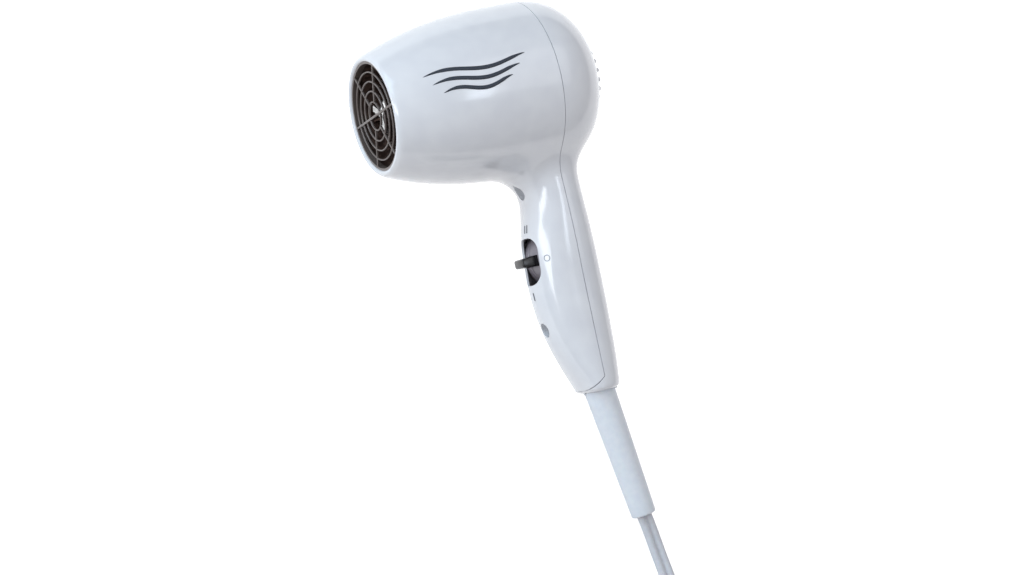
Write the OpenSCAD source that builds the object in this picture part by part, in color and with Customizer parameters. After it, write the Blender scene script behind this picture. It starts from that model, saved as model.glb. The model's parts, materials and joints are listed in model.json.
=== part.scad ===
// Compact hair dryer: a tapered barrel with a domed rear cover, a hollow handle with a
// three-position switch, and a mains lead that ends in a plug with a safety trip.
// Every module but those of the lead is drawn in the dryer's own axes: the barrel lies along X
// with its outlet toward -X, and the handle hangs toward -Z. laid_down() then puts the dryer
// on its side, with the barrel and the end of the strain relief on the surface z = 0.

/* [Barrel] */
// Largest outside diameter of the barrel
barrel_d = 83; // [69:0.5:100]
// Length from the widest place to the front rim
nose_l = 77.5; // [64:0.5:93]
// Length of the rear dome from the widest place
dome_l = 34.5; // [29:0.5:41]
// Wall thickness of both shells
wall = 2.2; // [1.8:0.1:2.6]
// Bore of the outlet that a nozzle pushes into
outlet_d = 51.6; // [44:0.2:55]
// Width of the rounded rim around the outlet
rim_w = 2.7; // [2.2:0.1:3.4]
// Depth of the grille behind the front rim
grille_depth = 2.4; // [2:0.2:6]
// Diameter of the air intake in the dome
intake_d = 40; // [33:0.5:44]

/* [Handle] */
// Distance from the barrel's axis to the bottom of the handle
handle_l = 150; // [146:1:180]
// Depth of the fullest grip ahead of the parting line
grip_front = 20.5; // [18:0.5:24]
// Depth of the fullest grip behind the parting line
grip_rear = 14.8; // [13:0.2:17]
// Width of the grip at its middle
grip_w = 33; // [30:0.5:38]
// Distance of the parting line behind the barrel's widest place
part_x = 2.7; // [1:0.1:4]
// Bore of the two screw wells in the front of the handle
well_d = 7.2; // [6:0.2:8]
// Distance from the barrel's underside to the upper well
upper_well = 8; // [7:0.5:10]
// Distance from the handle's bottom to the lower well
lower_well = 34; // [31:0.5:38]

/* [Switch] */
// Distance from the barrel's axis to the switch
switch_drop = 82.5; // [79:0.5:84]
// Height of the window that the lever comes through
window_h = 22.5; // [19:0.5:24]
// Width of the window
window_w = 18; // [14:0.5:19]
// Swing of the lever each way, in degrees
lever_swing = 14; // [10:1:15]
// Reach of the lever from its pivot
lever_reach = 23.6; // [22:0.2:26]
// Radius of the curved shield on the lever
shield_r = 15.4; // [14.8:0.1:15.8]
// Diameter of the pivot pin
pivot_d = 2.5; // [2:0.1:3]

/* [Motor and fan] */
// Diameter of the motor's can
motor_d = 27; // [24:0.5:30]
// Length of the motor's can
motor_l = 26; // [24:0.5:28]
// Diameter of the motor's shaft
shaft_d = 2; // [1.6:0.1:2.4]
// Diameter over the fan's blades
fan_d = 52; // [44:0.5:56]
// Number of blades
fan_blades = 7; // [5:1:9]

/* [Heater] */
// Thickness of the mica boards
mica_t = 0.8; // [0.6:0.1:1.2]
// Thickness of each heater coil's ring
coil_wire = 2.2; // [1.8:0.1:2.6]

/* [Lead and plug] */
// Diameter of the strain relief where it leaves the handle
relief_d = 15; // [13:0.2:16]
// Diameter of the strain relief at its tip
relief_tip_d = 12.2; // [10.6:0.2:13]
// Length of the strain relief outside the handle
relief_l = 64; // [60:1:70]
// Angle of the strain relief toward the rear, in degrees
relief_lean = 7.3; // [5:0.1:9]
// Width of the flat lead
cord_w = 7.8; // [7.2:0.1:8.2]
// Thickness of the flat lead
cord_t = 3.9; // [3.5:0.1:4.2]
// Length of the plug's body
plug_l = 46; // [42:1:50]
// Width of the plug's body
plug_w = 34; // [31:1:36]
// Height of the plug's body
plug_h = 26; // [23:1:29]
// Travel of the test and reset buttons
button_travel = 1.2; // [0.8:0.1:1.4]

/* [Hidden] */
$fn = 64;

// Clearances
fit = 0.1;            // between pieces that seat on each other
run = 0.05;           // radial, between a shaft and its bush
gap = 0.35;           // between pieces that move past each other
over = 1;             // how far a cut runs past a face

// Barrel
barrel_r = barrel_d / 2;
outlet_r = outlet_d / 2;
intake_r = intake_d / 2;
rim_x = -nose_l;
nose_drop = barrel_r - outlet_r - rim_w;
nose_power = 2.6;     // how late the nose starts to taper
dome_power = 2.45;    // how square the dome is
seat_x = rim_x + grille_depth;
seat_r = outlet_r + 0.5;
collar_l = 12;        // length of the tube that holds the grille and the liner
collar_r = seat_r + 2;
grille_t = 2;
rib_proud = 1.5;      // height of the intake ribs above the dome
tongue_l = 3;         // length of the rear cover's locating tongue
tongue_t = 1.2;

// Handle: share of the way down, then front depth, rear depth and half width as shares
neck_z = -(barrel_r + 2.5);
tail_z = -handle_l;
grip_rows = [
    [0.68, 0.96, 1.07], [0.71, 0.965, 1.09], [0.87, 0.99, 1.09], [0.965, 1.005, 1.05],
    [1, 1, 0.995], [0.955, 0.98, 0.96], [0.825, 0.94, 0.925], [0.605, 0.88, 0.9],
    [0.35, 0.785, 0.86]];
section_power = 2.2;
rings_down = 18;      // rings in the handle's loft
tail_rings = 4;       // of these, the rings in the tail that wraps round
handle_wall = 2;
tail_wall = 2.5;
crease_z = tail_z + 6.7;   // where the parting line ends on the side of the tail
crease_tilt = 36;

// Screw wells
upper_well_z = -(barrel_r + upper_well);
lower_well_z = tail_z + lower_well;
well_floor_x = -5;
boss_wall = 1.6;
screw_head_r = 2.8;
screw_head_t = 1.9;
screw_r = 1.3;
screw_l = 13;
boss_x = well_floor_x + boss_wall + fit;

// Switch
switch_z = -switch_drop;
pivot_x = 2;
shield_t = 1.2;
shield_half = asin((window_h / 2) / shield_r) + lever_swing + 1;
shield_w = window_w + 0.6;
pocket_x = pivot_x - shield_r - gap;
body_w = 16;
body_front = pivot_x - 4;
body_rear = pivot_x + 11;
body_half = 12;
tail_arm = 6;         // from the pivot to the peg that drives the slider
peg_r = 1.4;
slider_front = pivot_x + 3.8;
slider_rear = pivot_x + 8.4;
slider_half = 5;
slider_w = 10;
ledge_t = 1.4;
ledge_w = 13;
connector_z = switch_z + body_half + 3;
connector_l = 4.5;
join_x = pivot_x + 5; // where the two wires run beside the switch
wire_y = 10.1;

// Motor and fan
motor_r = motor_d / 2;
can_x = -20;
can_end = can_x + motor_l;
cap_l = 2.5;
shaft_r = shaft_d / 2;
fan_r = fan_d / 2;
hub_r = 7;
hub_x = can_end + 3;
hub_l = 10;
hub_wall = 1.5;
duct_r = fan_r + 1;
duct_t = 1.5;
duct_end = hub_x + hub_l + 1;
vanes = 5;
baffle_t = 2;
core_r = 8.2;
magnet_r = motor_r - 0.8;
magnet_in = core_r + 0.45;
brush_w = 3;
comm_r = 3.4;
board_r = 11.5;

// Heater
liner_r = seat_r - fit;
liner_t = 0.6;
liner_x = seat_x + grille_t + fit;
liner_end = can_x + 2;
mica_half = liner_r - liner_t - fit / 2;
mica_front = liner_x + 6;
mica_end = can_x - cap_l - 6;
mica_mid = (mica_front + mica_end) / 2;
notch = 0.2;
coil_r = mica_half - coil_wire;
main_rings = 6;
bracket_t = 1;
bracket_w = 3;
bracket_l = 9;
bracket_turn = 180;
bracket_x = seat_x + grille_t + fit;
ring_pitch = (mica_end - mica_front) / (main_rings + 3);

// Strain relief and lead
relief_x = 5.2;
relief_r = relief_d / 2;
tip_r = relief_tip_d / 2;
flange_t = 2.4;
flange_r = relief_r + 1.8;
flange_front = 6;      // how far the flange reaches each way from the relief's axis
flange_rear = 7.2;
flange_seat = tail_wall + flange_rear * sin(relief_lean) + fit;
clamp_x = relief_x - 1.5;
clamp_z = tail_z + 16;
clamp_reach = 5.4;
tip_x = relief_x + relief_l * sin(relief_lean);
tip_z = tail_z - relief_l * cos(relief_lean);

// The dryer's resting place: the barrel and the tip of the strain relief touch the surface
rest_roll = asin(barrel_r / norm([tip_z, tip_r])) - atan(tip_r / -tip_z);
mid_x = (rim_x + dome_l + rib_proud) / 2;
far_y = tip_z * cos(rest_roll) - tip_r * sin(rest_roll);
mid_y = (barrel_r + far_y) / 2;

// The lead's route on the surface
coil_at = [-12, -222];
coil_mid = 44;
coil_out = coil_mid + 12;
coil_in = coil_mid - 12;
coil_h = 8;
lead_in = [[34.6, -126, 5.6], [35.6, -134, 4.3], [36.5, -141, 3.1], [37.4, -149, 2.3],
    [38.2, -158, 2], [38.9, -168, 2], [39.4, -178, 2], [39.7, -190, 2], [39.9, -202, 2],
    [40, -214, 2]];
lead_out = [[40, -226, 6], [39, -242, 6.4], [36, -256, 7.4], [30, -270, 8.8],
    [21, -282, 10.4], [11, -291, 11.8], [0, -296, 12.8], [-10, -298, 13], [-18, -298, 13]];

// Plug
plug_at = [-22, -298, 0];
plug_split = plug_h / 2;
plug_wall = 2;
blade_gap = 12.7;
blade_t = 1.5;
blade_l = 17;
plug_screw_r = 1.8;
button_x = [-14, -26];
button_l = 8;
button_w = 5.5;
button_proud = 1.6;
button_z = plug_h - plug_wall - 1.4;
board_z = 15.5;

white = [0.93, 0.95, 0.97];
dark = [0.24, 0.23, 0.25];
mica = [0.36, 0.28, 0.25];
steel = [0.72, 0.72, 0.74];
brass = [0.8, 0.65, 0.3];
copper = [0.75, 0.42, 0.25];

// Radius of the barrel and the dome at a place along X, for a shell that is inset
function barrel_at(x, inset) =
    x <= 0 ? barrel_r - inset - nose_drop * pow(x / rim_x, nose_power)
    : (barrel_r - inset) * pow(max(0, 1 - pow(x / (dome_l - inset), dome_power)), 1 / dome_power);

// Half of a superellipse, from one side over the front (way -1) or the rear (way 1)
function half_ring(depth, half, way, n = 16) = [for (i = [0:n])
    let (a = way * (180 * i / n - 90), c = cos(a), s = sin(a))
    [part_x + way * depth * pow(abs(c), 2 / section_power),
        half * sign(s) * pow(abs(s), 2 / section_power)]];

// One column of the grip's rows at a place between two rows, on a smooth curve
function grip_at(col, u) =
    let (last = len(grip_rows) - 1, i = min(floor(u * last), last - 1), t = u * last - i,
        p = [for (k = [-1:2]) grip_rows[max(0, min(last, i + k))][col]])
    0.5 * (2 * p[1] + (p[2] - p[0]) * t + (2 * p[0] - 5 * p[1] + 4 * p[2] - p[3]) * t * t
        + (3 * p[1] - p[0] - 3 * p[2] + p[3]) * t * t * t);

// Rings of one half of the handle, from inside the barrel (first = -1) to a bottom height
function grip_rings(way, inset, bottom, spread, first) = [for (i = [first:rings_down])
    let (u = max(0, i) / rings_down, z = i < 0 ? neck_z + 12 : neck_z + (bottom - neck_z) * u,
        v = (z - neck_z) / (tail_z - neck_z), w = max(0, min(1, v)),
        depth = (way < 0 ? grip_front * grip_at(0, w) : grip_rear * grip_at(1, w)) - inset,
        half = grip_w / 2 * grip_at(2, w) - inset)
    concat([for (p = half_ring(depth, half, way)) [p[0], p[1], z]],
        spread > 0 ? [for (side = [way, -way]) [part_x - way * spread, side * half, z]] : [])];

// A closed solid through rings of equal length
module loft(rings) {
    n = len(rings[0]);
    m = len(rings);
    points = [for (r = rings, p = r) p];
    sides = [for (i = [0:m - 2], j = [0:n - 1])
        [i * n + j, i * n + (j + 1) % n, (i + 1) * n + (j + 1) % n, (i + 1) * n + j]];
    ends = [[for (j = [n - 1:-1:0]) j], [for (j = [0:n - 1]) (m - 1) * n + j]];
    polyhedron(points, concat(sides, ends), convexity = 6);
}

// Half of the handle, solid; a cavity is inset and spreads past the parting line
module half_grip(way, inset = 0, bottom = tail_z, spread = 0, first = -1) {
    loft(grip_rings(way, inset, bottom, spread, first));
}

// What lies under the crease, where the rear cover's tail wraps round the front shell
module under_crease(lift = 0) {
    translate([part_x, 0, crease_z + lift]) rotate([0, -crease_tilt, 0])
        translate([-40, -30, -30]) cube([80, 60, 30]);
}

module about_x(x, r, l) {
    translate([x, 0, 0]) rotate([0, 90, 0]) cylinder(r = r, h = l);
}

module tube_x(x, r, bore, l) {
    difference() {
        about_x(x, r, l);
        about_x(x - over, bore, l + 2 * over);
    }
}

// A shape turned about X from points given as [x, radius]
module turned(points) {
    rotate([0, 90, 0]) rotate_extrude($fn = 96) polygon([for (p = points) [p[1], p[0]]]);
}

// Puts the dryer on its side on the surface, centred on its box
module laid_down() {
    translate([-mid_x, -mid_y, barrel_r]) rotate([rest_roll - 90, 0, 0]) children();
}

module relief_axis() {
    translate([relief_x, 0, tail_z]) rotate([0, 180 - relief_lean, 0]) children();
}

module front_barrel() {
    steps = 18;
    // the taper ends where the rim's round begins
    outer = [for (i = [0:steps]) let (x = part_x + (rim_x + rim_w / 2 - part_x) * i / steps)
        [x, barrel_at(x, 0)]];
    round = [for (a = [75:-15:-75]) [rim_x + rim_w / 2 - rim_w / 2 * cos(a),
        outlet_r + rim_w / 2 + rim_w / 2 * sin(a)]];
    back_x = seat_x + collar_l;
    inner_x = rim_x + 8;
    inner = [for (i = [0:steps]) let (x = inner_x + (part_x - inner_x) * i / steps)
        [x, barrel_at(x, wall)]];
    turned(concat(outer, round, [[rim_x + rim_w / 2, outlet_r], [seat_x, outlet_r],
        [seat_x, seat_r], [back_x, seat_r], [back_x, collar_r], [inner_x, collar_r]], inner));
}

// Where the middle of the handle's rear face lies at a height
function rear_at(z) = part_x + grip_rear * grip_at(1, (z - neck_z) / (tail_z - neck_z));

module well(z, r, floor_t = 0) {
    translate([-40, 0, z]) rotate([0, 90, 0]) cylinder(r = r, h = 40 + well_floor_x + floor_t);
}

module front_shell() {
    wells = [upper_well_z, lower_well_z];
    color(white) laid_down() difference() {
        union() {
            difference() {
                union() {
                    front_barrel();
                    difference() {
                        half_grip(-1);
                        under_crease();
                        about_x(rim_x, barrel_r - wall, nose_l + part_x);
                    }
                }
                half_grip(-1, handle_wall, tail_z + 1, over);
                // flat pocket behind the window for the lever's shield
                translate([pocket_x, -shield_w / 2 - gap, switch_z - shield_r - 0.5])
                    cube([12, shield_w + 2 * gap, 2 * shield_r + 1]);
            }
            for (z = wells) intersection() {
                half_grip(-1);
                well(z, well_d / 2 + boss_wall, boss_wall);
            }
        }
        for (z = wells) {
            well(z, well_d / 2);
            translate([well_floor_x - over, 0, z]) rotate([0, 90, 0])
                cylinder(r = screw_r + 0.3, h = 4);
        }
        hull() for (s = [-1, 1])
            translate([-30, 0, switch_z + s * (window_h - window_w) / 2])
                rotate([0, 90, 0]) cylinder(d = window_w, h = 30 + pocket_x + 2);
    }
}

module rear_dome() {
    steps = 16;
    // the dome stops at the intake's edge
    edge = dome_l * pow(1 - pow(intake_r / barrel_r, dome_power), 1 / dome_power);
    in_edge = edge - wall - 0.4;
    outer = [for (i = [0:steps]) let (x = part_x + (edge - part_x) * sin(90 * i / steps))
        [x, i == steps ? intake_r : barrel_at(x, 0)]];
    inner = [for (i = [steps:-1:0]) let (x = part_x + (in_edge - part_x) * sin(90 * i / steps))
        [x, i == steps ? intake_r : barrel_at(x, wall)]];
    turned(concat(outer, inner));
}

module rear_cover() {
    color(white) laid_down() difference() {
        union() {
            difference() {
                union() {
                    rear_dome();
                    difference() {
                        half_grip(1);
                        about_x(0, barrel_at(part_x, wall), dome_l);
                    }
                    intersection() {
                        half_grip(-1, first = rings_down - tail_rings);
                        under_crease(-fit);
                    }
                }
                half_grip(1, handle_wall, tail_z + tail_wall, over);
                half_grip(-1, handle_wall, tail_z + tail_wall, over, rings_down - tail_rings);
            }
            // locating tongue inside the front shell, over the top of the barrel
            intersection() {
                tube_x(part_x - tongue_l, barrel_at(part_x, wall) - fit,
                    barrel_at(part_x, wall) - fit - tongue_t, tongue_l + 3);
                translate([-20, -60, -10]) cube([60, 120, 80]);
            }
            for (z = [upper_well_z, lower_well_z])
                translate([boss_x, 0, z]) rotate([0, 90, 0])
                    cylinder(r = screw_r + 2, h = rear_at(z) - handle_wall / 2 - boss_x);
            // ledges that hold the ends of the switch
            for (s = [-1, 1]) translate([body_rear - 5, -ledge_w / 2,
                    switch_z + s * (body_half + fit + ledge_t / 2) - ledge_t / 2])
                cube([rear_at(switch_z) - 2.5 - body_rear + 5, ledge_w, ledge_t]);
        }
        for (z = [upper_well_z, lower_well_z]) translate([well_floor_x, 0, z])
            rotate([0, 90, 0]) cylinder(r = screw_r - 0.2, h = screw_l + 0.4);
        relief_axis() translate([0, 0, -20]) cylinder(r = relief_r + fit, h = 30);
    }
}

module shell_screws() {
    color(steel) laid_down() for (z = [upper_well_z, lower_well_z])
        translate([well_floor_x - screw_head_t, 0, z]) rotate([0, 90, 0]) {
            difference() {
                cylinder(r = screw_head_r, h = screw_head_t);
                translate([-2, -0.4, -over]) cube([4, 0.8, over + 0.8]);
                translate([-0.4, -2, -over]) cube([0.8, 4, over + 0.8]);
            }
            cylinder(r = screw_r, h = screw_l);
        }
}

// Flat rings about X
module rings_x(x, t, radii, w) {
    for (r = radii) tube_x(x, r + w / 2, r - w / 2, t);
}

module outlet_grille() {
    radii = [6.7, 11.7, 16.3, 20.8] * outlet_r / 25.8;
    bar_turn = 9.5;   // of the one bar that crosses the middle
    color([0.42, 0.39, 0.39]) laid_down() union() {
        tube_x(seat_x, seat_r - fit, seat_r - 1.7, grille_t);
        rings_x(seat_x + 0.3, 1.2, radii, 1);
        for (k = [0:2]) rotate([-bar_turn - 60 * k, 0, 0]) difference() {
            translate([seat_x + 0.2, -seat_r + 1, -0.5]) cube([1.4, 2 * seat_r - 2, 1]);
            if (k > 0) about_x(seat_x - over, radii[0], 4);
        }
    }
}

module intake_grille() {
    // a shallow cap of rings and ribs that follows the dome and stands proud of it
    front = dome_l * pow(1 - pow(intake_r / barrel_r, dome_power), 1 / dome_power) - wall;
    steps = 10;
    crown = [for (i = [0:steps]) let (r = (intake_r - fit) * i / steps)
        [dome_l * pow(1 - pow(r / barrel_r, dome_power), 1 / dome_power) + rib_proud, r]];
    color(white) laid_down() intersection() {
        turned(concat(crown, [[front - 0.5, intake_r - fit], [front - 0.5, 0]]));
        union() {
            tube_x(front - 0.5, intake_r, intake_r - 1.6, 20);
            rings_x(front + 1, 20, [8, 14] * intake_r / 20, 1.4);
            about_x(front - 0.4, 3, 20);
            for (k = [0:11]) rotate([15 * k, 0, 0])
                translate([front, -intake_r, -0.7]) cube([20, 2 * intake_r, 1.4]);
        }
    }
}

module lint_screen() {
    back = dome_l * pow(1 - pow(intake_r / barrel_r, dome_power), 1 / dome_power) - wall - 1.5;
    color([0.5, 0.5, 0.52]) laid_down() about_x(back, intake_r - 0.5, 0.5);
}

module heater_liner() {
    color(mica) laid_down() tube_x(liner_x, liner_r, liner_r - liner_t, liner_end - liner_x);
}

// Places of the heater's rings: six for the main coil and two for the low one
function ring_x(i) = mica_front + ring_pitch * (i + 1);

module notches() {
    for (i = [0:main_rings + 1]) coil_ring(ring_x(i), coil_wire / 2 + notch);
}

module coil_ring(x, r) {
    translate([x, 0, 0]) rotate([0, 90, 0]) rotate_extrude() translate([coil_r, 0]) circle(r, $fn = 20);
}

module mica_board(slot_from, slot_to) {
    difference() {
        translate([mica_front, -mica_half, -mica_t / 2])
            cube([mica_end - mica_front, 2 * mica_half, mica_t]);
        translate([slot_from, -mica_t / 2 - fit, -over])
            cube([slot_to - slot_from, mica_t + 2 * fit, 2 * over]);
        notches();
    }
}

module heater_board_a() {
    color(mica) laid_down() mica_board(mica_mid, mica_end + over);
}

module heater_board_b() {
    color(mica) laid_down() rotate([90, 0, 0]) mica_board(mica_front - over, mica_mid + fit);
}

module heater_bracket() {
    // a three-armed plate behind the grille, on a stem that stands on the front edges of the boards
    color(steel) laid_down() translate([bracket_x, 0, 0]) union() {
        about_x(0, bracket_w * 0.7, mica_front - bracket_x);
        for (k = [0:2]) rotate([bracket_turn + 120 * k, 0, 0])
            translate([0, -bracket_w / 2, 0]) cube([bracket_t, bracket_w, bracket_l]);
    }
}

module heater_coil_main() {
    color(steel) laid_down() for (i = [0:main_rings - 1]) coil_ring(ring_x(i), coil_wire / 2);
}

module heater_coil_low() {
    color(steel) laid_down() for (i = [main_rings:main_rings + 1])
        coil_ring(ring_x(i), coil_wire / 2);
}

module thermostat() {
    color(steel) laid_down() translate([mica_mid + 4, 9, mica_t / 2 + fit]) {
        cylinder(r = 4, h = 2.6);
        translate([-2, -6.5, 0]) cube([4, 13, 0.6]);
    }
}

module thermal_fuse() {
    color(steel) laid_down() translate([mica_mid - 4, -9, mica_t / 2 + fit + 1.6])
        rotate([0, 90, 0]) {
            cylinder(r = 1.6, h = 9);
            translate([0, 0, -4]) cylinder(r = 0.5, h = 17);
        }
}

module motor_mount() {
    vane_from = can_x + 2;
    inner_r = motor_r + fit;
    color([0.9, 0.9, 0.88]) laid_down() {
        tube_x(can_x + 2, duct_r + duct_t, duct_r, duct_end - can_x - 2);
        tube_x(can_x + 3, inner_r + 1.4, inner_r, motor_l - 5);
        tube_x(can_x + 2, barrel_at(can_x, wall) - 0.3, duct_r, baffle_t);
        for (k = [0:vanes - 1]) rotate([36 + 360 / vanes * k, 0, 0])
            translate([vane_from + 2, -0.6, inner_r + 0.7]) cube([16, 1.2, duct_r - inner_r]);
    }
}

module motor_can() {
    color(steel) laid_down() difference() {
        about_x(can_x, motor_r, motor_l);
        about_x(can_x - over, magnet_r, motor_l + over - 1);
        about_x(can_x, 3.1, motor_l + over);
    }
}

module motor_end_cap() {
    color(dark) laid_down() difference() {
        about_x(can_x - cap_l, motor_r, cap_l);
        about_x(can_x - cap_l - over, 3.1, cap_l + 2 * over);
    }
}

module motor_magnets() {
    color([0.3, 0.3, 0.32]) laid_down() difference() {
        tube_x(can_x + 6, magnet_r, magnet_in, motor_l - 9);
        translate([can_x, -3, -magnet_r - over]) cube([motor_l, 6, 2 * magnet_r + 2 * over]);
    }
}

module motor_bearings() {
    color(brass) laid_down() {
        tube_x(can_x - cap_l, 3, shaft_r + run, cap_l);
        tube_x(can_end - 1, 3, shaft_r + run, 2.2);
    }
}

module motor_brushes() {
    color(copper) laid_down() for (s = [-1, 1])
        translate([can_x, s * (comm_r + gap + 2.5) - 2.5, -brush_w / 2])
            cube([3, 5, brush_w]);
}

module rectifier_board() {
    color([0.25, 0.45, 0.3]) laid_down()
        tube_x(can_x - cap_l - 3.2, board_r, 3.4, 1.2);
}

module rectifier_diodes() {
    color(dark) laid_down() for (a = [0:90:270]) rotate([a + 45, 0, 0])
        translate([can_x - cap_l - 2, 7.5, -2.5]) translate([0.95, 0, 0]) cylinder(r = 0.9, h = 5);
}

module motor_shaft() {
    from_x = can_x - cap_l - 1;
    color(steel) laid_down() about_x(from_x, shaft_r, hub_x + hub_l - hub_wall - from_x);
}

module armature_core() {
    color([0.55, 0.55, 0.57]) laid_down() difference() {
        about_x(can_x + 8, core_r, motor_l - 14);
        about_x(can_x, shaft_r, motor_l);
        for (k = [0:4]) rotate([72 * k, 0, 0])
            translate([can_x + 7, -0.9, 3.4]) cube([motor_l, 1.8, 6]);
    }
}

module armature_windings() {
    color(copper) laid_down() for (x = [can_x + 6.2, can_x + motor_l - 6])
        tube_x(x, 7.4, shaft_r + 1, 1.8);
}

module commutator() {
    color(copper) laid_down() tube_x(can_x + 0.4, comm_r, shaft_r, 5);
}

module fan_impeller() {
    color([0.85, 0.85, 0.82]) laid_down() {
        difference() {
            about_x(hub_x, hub_r, hub_l);
            about_x(hub_x - over, hub_r - hub_wall, hub_l - hub_wall + over);
        }
        tube_x(hub_x + 0.5, 2.6, shaft_r, hub_l - hub_wall);
        for (k = [0:fan_blades - 1]) rotate([360 / fan_blades * k, 0, 0])
            translate([hub_x + hub_l / 2, 0, hub_r - 0.8]) rotate([0, 0, 52])
                translate([-0.6, -5.6, 0]) intersection() {
                    cube([1.2, 11.2, fan_r - hub_r]);
                    translate([0, 5.6, 0.8 - hub_r]) rotate([0, 90, 0])
                        translate([0, 0, -over]) cylinder(r = fan_r - 0.5, h = 4);
                }
    }
}

module in_switch() {
    translate([pivot_x, 0, switch_z]) children();
}

module switch_body() {
    front = body_front - pivot_x;
    depth = body_rear - body_front;
    color([0.2, 0.2, 0.22]) laid_down() in_switch() difference() {
        translate([front, -body_w / 2, -body_half]) cube([depth, body_w, 2 * body_half]);
        translate([front - over, -body_w / 2 + 1.8, -body_half + 1.8])
            cube([depth + over - 1.6, body_w - 3.6, 2 * body_half - 3.6]);
        rotate([90, 0, 0]) translate([0, 0, -body_w]) cylinder(d = pivot_d + 2 * run, h = 2 * body_w);
        for (z = [-7, 0, 7]) translate([depth + front - 3, -2.6, z - 0.6]) cube([6, 5.2, 1.2]);
    }
}

module switch_terminals() {
    color(brass) laid_down() in_switch() for (z = [-7, 0, 7])
        translate([body_rear - pivot_x - 1.9, -2.5, z - 0.5]) cube([3.8, 5, 1]);
}

module switch_lever() {
    color(dark) laid_down() in_switch() difference() {
        union() {
            // the curved shield that fills the window at every position
            intersection() {
                rotate([90, 0, 0]) difference() {
                    translate([0, 0, -shield_w / 2]) cylinder(r = shield_r, h = shield_w);
                    translate([0, 0, -shield_w]) cylinder(r = shield_r - shield_t, h = 2 * shield_w);
                }
                rotate([90, 0, 0]) translate([0, 0, -shield_w / 2])
                    linear_extrude(shield_w) polygon([[0, 0],
                        [-30 * cos(shield_half), 30 * sin(shield_half)], [-40, 0],
                        [-30 * cos(shield_half), -30 * sin(shield_half)]]);
            }
            // the finger lever
            hull() {
                translate([-shield_r + 0.6, -5.2, -2.6]) cube([0.5, 10.4, 5.2]);
                translate([-lever_reach + 1.9, 4.8, 0]) rotate([90, 0, 0])
                    cylinder(r = 1.9, h = 9.6, $fn = 32);
            }
            translate([-shield_r + 0.5, -2.2, -2]) cube([shield_r, 4.4, 4]);
            rotate([90, 0, 0]) translate([0, 0, -5.8]) cylinder(r = 3.2, h = 11.6);
            translate([0, -2, -0.8]) cube([tail_arm, 4, 1.6]);
            translate([tail_arm, 2, 0]) rotate([90, 0, 0]) cylinder(r = peg_r, h = 4);
        }
        rotate([90, 0, 0]) translate([0, 0, -body_w]) cylinder(d = pivot_d, h = 2 * body_w);
    }
}

module switch_pivot() {
    color(steel) laid_down() in_switch() rotate([90, 0, 0])
        translate([0, 0, -body_w / 2]) cylinder(d = pivot_d, h = body_w);
}

module contact_slider() {
    color([0.85, 0.82, 0.75]) laid_down() in_switch() difference() {
        translate([slider_front - pivot_x, -slider_w / 2, -slider_half])
            cube([slider_rear - slider_front, slider_w, 2 * slider_half]);
        translate([slider_front - pivot_x - over, -2.4, -peg_r - gap])
            cube([tail_arm + peg_r + gap - slider_front + pivot_x + over, 4.8, 2 * (peg_r + gap)]);
    }
}

module slider_contact() {
    color(copper) laid_down() in_switch() translate([slider_rear - pivot_x, -1.5, -4.4])
        cube([0.3, 3, 8.8]);
}

module cord_clamp() {
    color([0.85, 0.85, 0.83]) laid_down() translate([clamp_x, 0, clamp_z]) difference() {
        translate([-7, -2.2 - cord_t / 2, -3]) cube([14, 2.2, 6]);
        for (s = [-1, 1]) translate([clamp_reach * s, 0, 0]) rotate([90, 0, 0])
            cylinder(r = 0.9, h = 20);
    }
}

module clamp_screws() {
    color(steel) laid_down() for (s = [-1, 1])
        translate([clamp_x + clamp_reach * s, -2.2 - cord_t / 2, clamp_z]) rotate([90, 0, 0]) {
            translate([0, 0, -2.2]) cylinder(r = 0.9, h = 3);
            cylinder(r = 1.6, h = 1.2);
        }
}

// A wire or lead through points: a ring of n points at each, square to the route
function along(path, i) =
    let (a = path[max(0, i - 1)], b = path[min(len(path) - 1, i + 1)], d = b - a) d / norm(d);

module swept(path, w, t, n = 8, up = [0, 0, 1]) {
    loft([for (i = [0:len(path) - 1])
        let (d = along(path, i), side = cross(d, up) / norm(cross(d, up)), top = cross(side, d))
        [for (k = [0:n - 1]) let (a = 360 * (k + 0.5) / n)
            path[i] + side * cos(a) * w / 2 / cos(180 / n) + top * sin(a) * t / 2 / cos(180 / n)]]);
}

module lead_wires() {
    color([0.85, 0.2, 0.2]) laid_down() {
        // the end of the lead, under the clamp
        swept([[clamp_x, 0, tail_z + 6], [clamp_x, 0, tail_z + 21]], cord_w, cord_t, 8, [0, 1, 0]);
        // past the switch to the connectors
        for (s = [-1, 1]) swept([[clamp_x + 2 * s, 0, tail_z + 20], [clamp_x + 2 * s, 3, tail_z + 27],
            [join_x + 2 * s, 9.4, switch_z - 20], [join_x + 2.5 * s, wire_y, switch_z - body_half],
            [join_x + 2.5 * s, wire_y, switch_z + body_half - 3],
            [join_x + 3 * s, 8, connector_z - 1.5], [join_x + 3 * s, 8, connector_z]],
            2, 2, 8, [0, 1, 0]);
        // from the connectors to the heater and the motor
        for (s = [-1, 1]) swept([[join_x + 3 * s, 8, connector_z + connector_l],
            [join_x + 3 * s, 8, connector_z + connector_l + 1.5],
            [join_x - 2 + 3 * s, 8, connector_z + 14], [-2 + 3 * s, 9, -barrel_r + 8],
            [-12 + 3 * s, 9, -barrel_r + 9.5]], 1.8, 1.8, 8, [0, 1, 0]);
    }
}

module wire_connectors() {
    color([0.8, 0.8, 0.78]) laid_down() for (s = [-1, 1])
        translate([join_x + 3 * s, 8, connector_z]) cylinder(r = 1.9, h = connector_l);
}

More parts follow.
